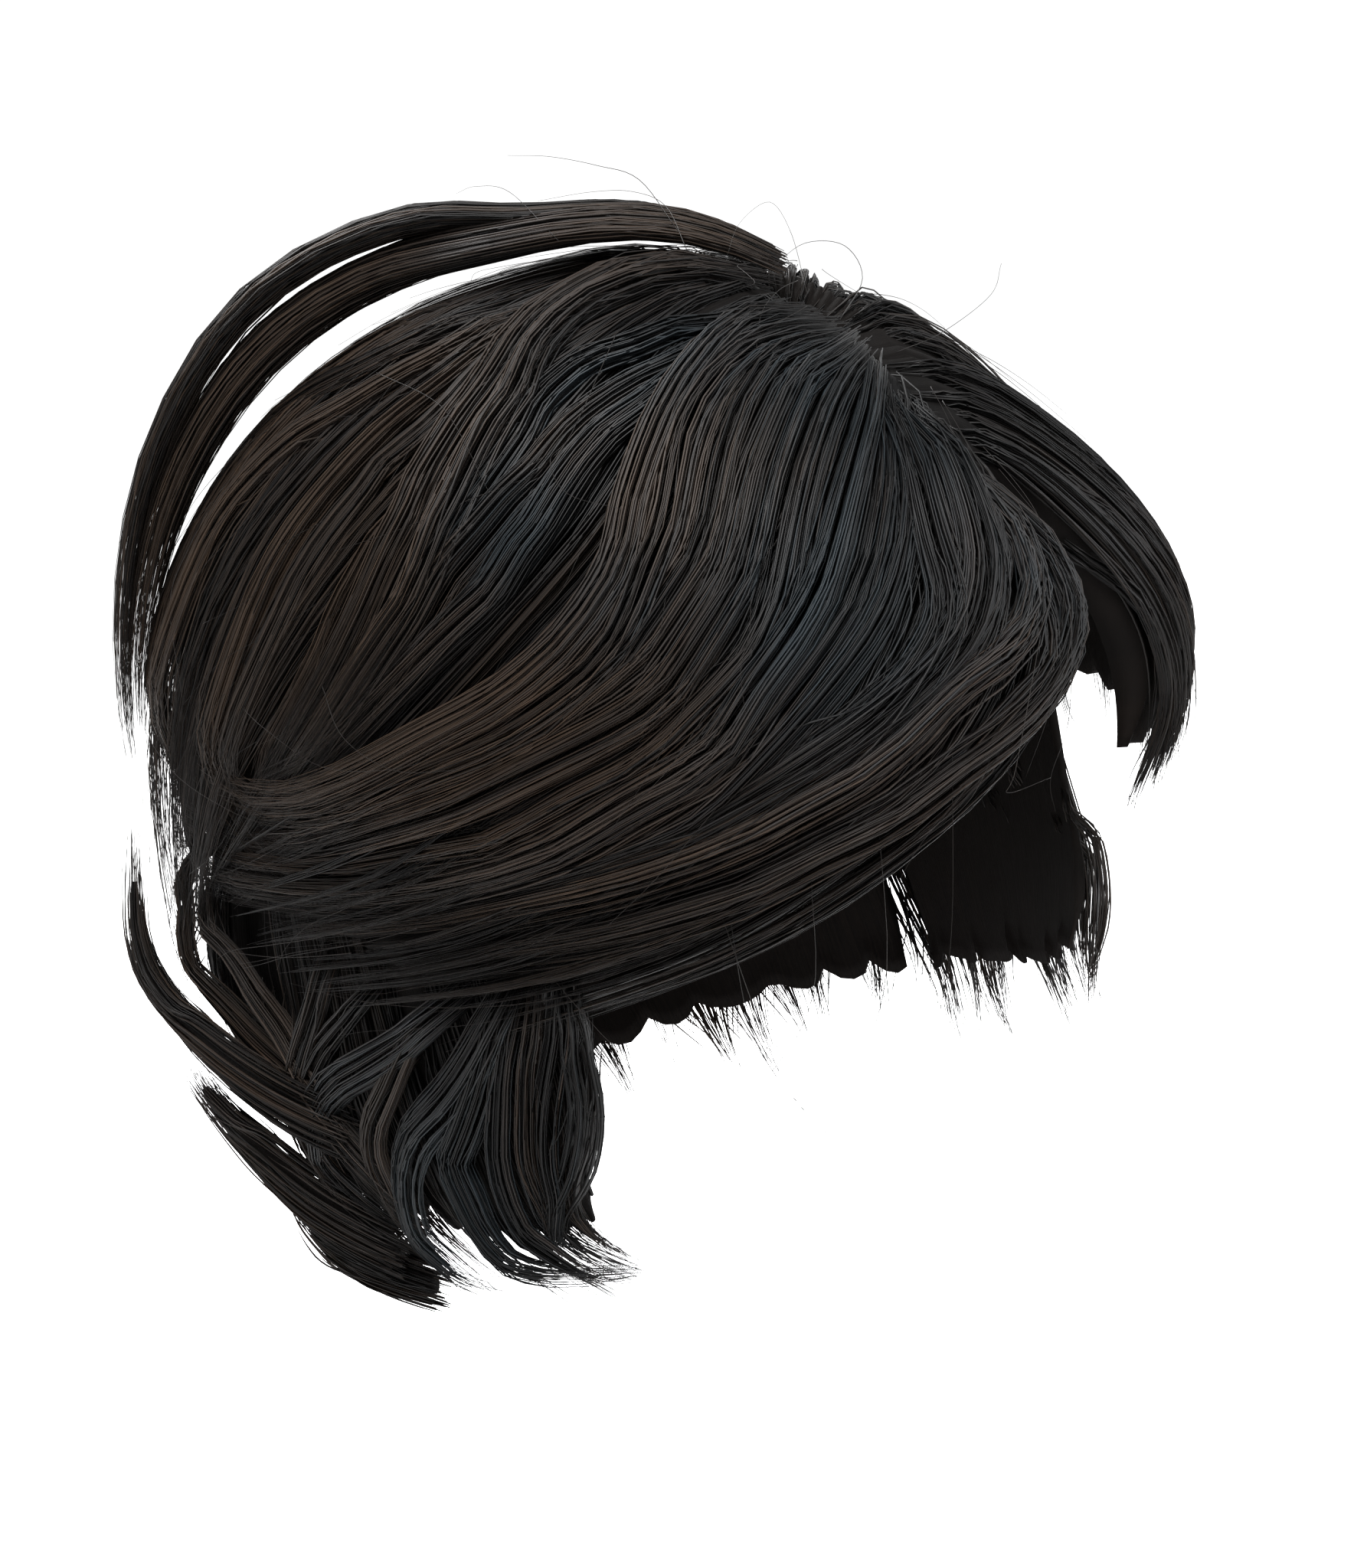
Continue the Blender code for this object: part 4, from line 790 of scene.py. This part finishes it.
STRAYS = (
    ((-3, 74, 19), (42, 83, 25), (91, 86, 28), (171, 87, 31), (-152, 84, 33)),
    ((-10, 70, 18), (16, 79, 21), (73, 83, 22.5), (109, 86, 23), (-174, 85, 23)),
    ((4, 58, 17), (27, 66, 20), (54, 69, 23), (9, 69, 22), (-7, 65, 20)),
    ((3, 53, 17), (17, 56, 20), (24, 60, 22), (17, 63, 21), (1, 62, 19)),
    ((7, 47, 17), (16, 46, 21), (45, 45, 25), (45, 46, 31)),
    ((-56, 79, 18), (-156, 83, 26), (-149, 80, 29), (-145, 78, 29)),
    ((-40, -6, 13), (-40, -20, 15), (-38, -28, 16), (-34, -35, 16), (-27, -41, 17), (-17, -44, 18)),
    ((-41, -6, 13), (-39, -20, 15), (-37, -30, 16.5), (-32, -38, 17), (-23, -44, 18), (-11, -46, 19)),
    ((-31, -4, 13), (-33, -18, 15), (-39, -27, 16), (-49, -36, 16), (-57, -45, 16), (-64, -51, 15)),
    ((-23, 0, 13), (-25, -16, 16), (-29, -26, 17), (-34, -34, 18), (-42, -42, 18), (-49, -46, 17), (-55, -49, 16)),
    ((-13, 6, 13), (-17, -12, 16), (-20, -22, 17), (-24, -30, 18), (-28, -36, 18)),
    ((-61, -12, 12), (-57, -18, 14), (-53, -23, 15), (-45, -25, 16)),
    ((-61, -24, 12), (-59, -32, 13), (-55, -31, 14), (-53, -35, 15), (-54, -39, 15), (-57, -37, 14), (-59, -33, 13)),
    ((2, 14, 15), (-7, 3, 17), (-9, 1, 18), (-3, 1, 18)),
    ((10, 16, 15), (2, 6, 17), (-3, 1, 18), (-3, -3, 18)),
    ((-40, 58, 16), (-49, 44, 19), (-52, 41, 19.5), (-50, 37, 20), (-44, 35, 19)),
    ((-90, 55, 17), (-72, 50, 19), (-66, 46, 19.5), (-60, 38, 19)),
    ((-95, 16, 19), (-88, 14, 21), (-80, 11, 21), (-72, 11, 21), (-67, 12, 20)),
    ((-81, 19, 19), (-77, 14, 21), (-71, 11, 21), (-64, 11, 21)),
    ((-126, 17, 24), (-125, 10, 24), (-109, 7, 22), (-96, 5, 21), (-88, 4, 20)),
    ((-90, 13, 20), (-94, 10, 22), (-93, 5, 22), (-90, 1, 21)),
)
lay_strays("stray_hairs", 41, list(STRAYS) + strays_over(GROUND, np.random.default_rng(42), 230))

# ---- stage, light and camera ---------------------------------------------------------------
floor_mesh = bpy.data.meshes.new("floor")
s = 3.0
floor_mesh.from_pydata([(-s, -s, -0.32), (s, -s, -0.32), (s, s, -0.32), (-s, s, -0.32)], [], [(0, 1, 2, 3)])
floor = bpy.data.objects.new("floor", floor_mesh)
bpy.context.scene.collection.objects.link(floor)
pale = bpy.data.materials.new("pale_floor")
pale.use_nodes = True
pale.node_tree.nodes["Principled BSDF"].inputs["Base Color"].default_value = (0.88, 0.88, 0.88, 1)
pale.node_tree.nodes["Principled BSDF"].inputs["Roughness"].default_value = 0.9
floor_mesh.materials.append(pale)

world = bpy.data.worlds.new("studio")
bpy.context.scene.world = world
world.use_nodes = True
world.node_tree.nodes["Background"].inputs["Color"].default_value = (1.0, 1.0, 1.0, 1)
world.node_tree.nodes["Background"].inputs["Strength"].default_value = 1.12


def area(name, place, target, size, power, colour=(1, 1, 1)):
    light = bpy.data.lights.new(name, "AREA")
    light.shape, light.size, light.energy, light.color = "SQUARE", size, power, colour
    obj = bpy.data.objects.new(name, light)
    obj.location = place
    obj.rotation_euler = (Vector(target) - Vector(place)).to_track_quat("-Z", "Y").to_euler()
    bpy.context.scene.collection.objects.link(obj)


MIDDLE = (0.0, 0.0, -0.08)
area("key", (-0.36, -0.42, 0.92), MIDDLE, 0.5, 44)
area("fill", (0.75, -0.85, 0.45), MIDDLE, 0.6, 16, (0.92, 0.96, 1.0))
area("back", (0.25, 1.0, 0.75), MIDDLE, 0.6, 20)

camera = bpy.data.cameras.new("camera")
camera.sensor_width, camera.sensor_fit, camera.lens, camera.clip_start = 36.0, "AUTO", 67.09, 0.01
cam = bpy.data.objects.new("camera", camera)
fwd = Vector((0.6019, 0.7561, -0.2570)).normalized()
right = fwd.cross(Vector((0.2827, 0.0993, 0.9541))).normalized()
up = right.cross(fwd).normalized()
cam.matrix_world = Matrix(((right.x, up.x, -fwd.x, -0.3634), (right.y, up.y, -fwd.y, -0.4613),
                           (right.z, up.z, -fwd.z, 0.0570), (0, 0, 0, 1)))
bpy.context.scene.collection.objects.link(cam)
bpy.context.scene.camera = cam
bpy.context.scene.view_settings.view_transform = "Standard"

for name, count in PIECES:
    print("piece", name, count)
print("triangles", sum(c for _, c in PIECES))
